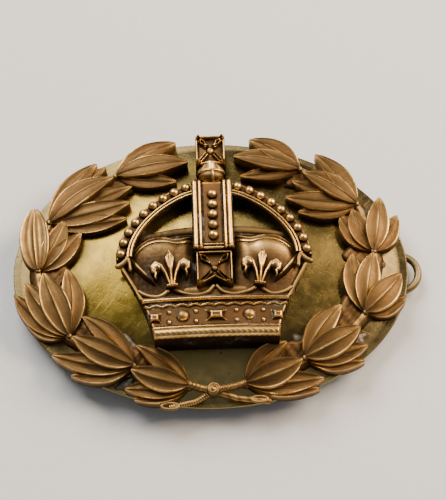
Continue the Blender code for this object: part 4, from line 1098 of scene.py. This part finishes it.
def centre_arch_skins():
    """Centre arch: q runs up it and p across. Its depth is the panel's less two rims
    a side and two bars at the foot, and rounds over at the edges and at the top."""
    q = np.linspace(FRONT_FOOT, FRONT_TOP, 150)[:, None]
    half = FRONT_HALF - FRONT_TAPER * (q - FRONT_FOOT) / (FRONT_TOP - FRONT_FOOT)
    p = np.linspace(-1.0, 1.0, 81)[None, :] * half
    side = np.abs(p)
    depth = 0.52 - 0.34 * soft(side - 1.75, 0.25)
    depth -= ridge(side - 2.10, 0.28, 0.34) + ridge(side - 3.00, 0.42, 0.46)
    depth -= ridge(q - 1.35, 0.28, 0.40) + ridge(q - 2.0, 0.22, 0.34) * (side < 2.0)
    depth += 0.50 * soft(side - half + 0.30, 0.30) + 0.9 * soft(q - 14.3, 1.0) ** 2
    skins = [crown_casting(p, q, depth)]
    for pearl_q in PEARL_FIRST + PEARL_PITCH * np.arange(PEARL_COUNT):
        skins.append(ball(*on_crown(0.0, pearl_q, PEARL_DEPTH), PEARL_RADIUS, 0.95, 14, 24))
    return skins


centre_arch = piece("crown_arch_front", centre_arch_skins(), crown_metal)
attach(centre_arch, "badge")
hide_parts("crown_arch_centre")

# ---------------------------------------------------------------------------
# Orb and cross. A ball girt by two raised bands, a fluted bell-shaped neck, and a
# square cross. It is struck with the crown.
# ---------------------------------------------------------------------------
ORB_Q, ORB_Z = 15.9, 5.6
ORB_HALF_P, ORB_HALF_Q, ORB_HALF_Z = 2.15, 1.30, 1.70
BELT_Q = 16.7
BELT_WIRE, STRAP_WIRE = 0.30, 0.24
NECK_FOOT, NECK_TOP = 16.75, 18.5
NECK_HALF, NECK_SPREAD = 1.35, 0.95
CROSS_Q = 20.95
CROSS_HALF_P, CROSS_HALF_Q = 2.58, 3.0


def orb_skin():
    """Orb: rings from pole to pole up the crown's axis, wider than it is high."""
    climb = np.linspace(0.10, np.pi - 0.10, 40)[:, None]
    turn = np.linspace(0.0, 2.0 * np.pi, 60, endpoint=False)[None, :]
    x, y = crown_place(ORB_HALF_P * np.sin(climb) * np.cos(turn), ORB_Q - ORB_HALF_Q * np.cos(climb))
    loops = np.stack([x, y, ORB_Z + ORB_HALF_Z * np.sin(climb) * np.sin(turn)], -1)
    deep = np.clip(0.8 - np.sin(climb) * (1.0 + np.sin(turn)), 0.0, 1.0)
    return *skin(loops), 0.15, deep, loops


def orb_bands():
    """Belt round the orb, a half oval across it, and the strap that runs from the
    belt down the front, a quarter oval. Both are round and polished."""
    turn = np.linspace(0.10, np.pi - 0.10, 60)
    x, y = crown_place(2.20 * np.cos(turn), BELT_Q)
    belt = wire_skin(np.stack([x, y, ORB_Z - 0.15 + 1.55 * np.sin(turn)], -1), BELT_WIRE, 14)
    climb = np.linspace(0.35, 1.25, 30) * 0.5 * np.pi
    x, y = crown_place(0.30, ORB_Q - ORB_HALF_Q * np.cos(climb))
    strap = wire_skin(np.stack([x, y, ORB_Z + ORB_HALF_Z * np.sin(climb)], -1), STRAP_WIRE, 12)
    return [(*wire[:2], 0.9, *wire[3:]) for wire in (belt, strap)]


def neck_skin():
    """Neck: q runs up from the belt and s across it. It spreads from the cross's stem
    to the belt's width, and its flutes, a cosine of s, curve out with it."""
    q = np.linspace(NECK_FOOT, NECK_TOP, 44)[:, None]
    s = np.linspace(-1.0, 1.0, 101)[None, :]
    spread = soft(18.6 - q, 1.8)
    flutes = 0.09 * np.cos(s * 2.6 * np.pi) * soft(18.5 - q, 0.9)
    depth = -0.30 + 0.20 * spread + 1.0 * s ** 2 * (0.5 + 0.5 * spread) - flutes
    points, faces, worn, deep, grain = crown_casting(s * (NECK_HALF + NECK_SPREAD * spread), q, depth, 0.04)
    # Worn on the neck is partly painted highlight: a floor of brightness over it all and a bright stripe
    # down its middle, besides the rubbed crests of the flutes.
    worn[:, :-UNDERSIDE] = np.clip(0.30 + 2.0 * flutes + 0.5 * np.exp(-((s / 0.3) ** 2)), 0.0, 1.0)
    deep[:, :-UNDERSIDE] = np.clip(-2.5 * flutes, 0.0, 0.5)
    return points, faces, worn, deep, grain


def cross_skin():
    """Cross at the top: the same block as the cross on the band, with no notch, drawn
    a little longer up the crown than across it."""
    across, upward = np.linspace(-1.0, 1.0, 100), np.linspace(-1.0, 1.0, 110)
    a, b = np.meshgrid(across, upward, indexing="ij")
    height, inside = cross_block(2.6, 1.95, 0.0)(a * 2.6, b * 2.6)
    depth = 0.35 * (1.0 - soft(inside, 0.12)) - height - 0.15
    return crown_casting(a * CROSS_HALF_P, b * CROSS_HALF_Q + CROSS_Q, depth, 0.05)


orb = piece("orb_with_cross", [orb_skin(), *orb_bands(), neck_skin(), cross_skin()], crown_metal)
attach(orb, "badge")
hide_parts("orb_and_cross")

# ---------------------------------------------------------------------------
# Where it is shown: a pale matt table, one broad soft light behind and to the
# left, a weaker one to the right, and the camera above the front edge.
# ---------------------------------------------------------------------------
table_material = bpy.data.materials.new("pale_table")
table_material.use_nodes = True
table_tree = table_material.node_tree
table_shader = table_tree.nodes["Principled BSDF"]
table_shader.inputs["Roughness"].default_value = 0.85
table_place = table_tree.nodes.new("ShaderNodeTexCoord").outputs["Object"]
fibres = speckle(table_tree, table_place, 900.0)
paper = blend(table_tree, fibres, (0.62, 0.61, 0.60, 1.0), (0.70, 0.69, 0.68, 1.0))
table_tree.links.new(paper, table_shader.inputs["Base Color"])
table_mesh = bpy.data.meshes.new("table")
TABLE_HALF = 2.0
table_corners = [(TABLE_HALF * x, TABLE_HALF * y, 0) for x, y in ((-1, -1), (1, -1), (1, 1), (-1, 1))]
table_mesh.from_pydata(table_corners, [], [(0, 1, 2, 3)])
table_mesh.materials.append(table_material)
table = bpy.data.objects.new("table", table_mesh)
bpy.context.scene.collection.objects.link(table)

world = bpy.data.worlds.new("studio")
bpy.context.scene.world = world
world.use_nodes = True
world.node_tree.nodes["Background"].inputs["Color"].default_value = (0.80, 0.84, 0.90, 1.0)
world.node_tree.nodes["Background"].inputs["Strength"].default_value = 0.26


def add_light(name, place, size, power, colour):
    """Square area light that faces the middle of the badge."""
    lamp = bpy.data.lights.new(name, "AREA")
    lamp.shape, lamp.size, lamp.energy, lamp.color = "SQUARE", size, power, colour
    item = bpy.data.objects.new(name, lamp)
    item.location = place
    item.rotation_euler = (-item.location).to_track_quat("-Z", "Y").to_euler()
    bpy.context.scene.collection.objects.link(item)


add_light("window", (-0.21, 0.37, 0.42), 0.40, 6.0, (1.0, 0.96, 0.90))
add_light("fill", (0.37, 0.19, 0.34), 0.34, 6.0, (1.0, 0.82, 0.62))

PICTURE_HEIGHT = 86.8
AIM = (2.17, 4.6)
azimuth, elevation = math.radians(-0.9), math.radians(64.6)
camera_data = bpy.data.cameras.new("camera")
camera_data.lens = 150.0
camera = bpy.data.objects.new("camera", camera_data)
bpy.context.scene.collection.objects.link(camera)
level = math.cos(elevation)
back = np.array([math.sin(azimuth) * level, -math.cos(azimuth) * level, math.sin(elevation)])
distance = camera_data.lens * PICTURE_HEIGHT * MM / camera_data.sensor_width
target = plate_origin + np.array([*AIM, 0.0]) * MM
camera.location = target + back * distance
camera.rotation_euler = (0.5 * math.pi - elevation, 0.0, azimuth)
bpy.context.scene.camera = camera
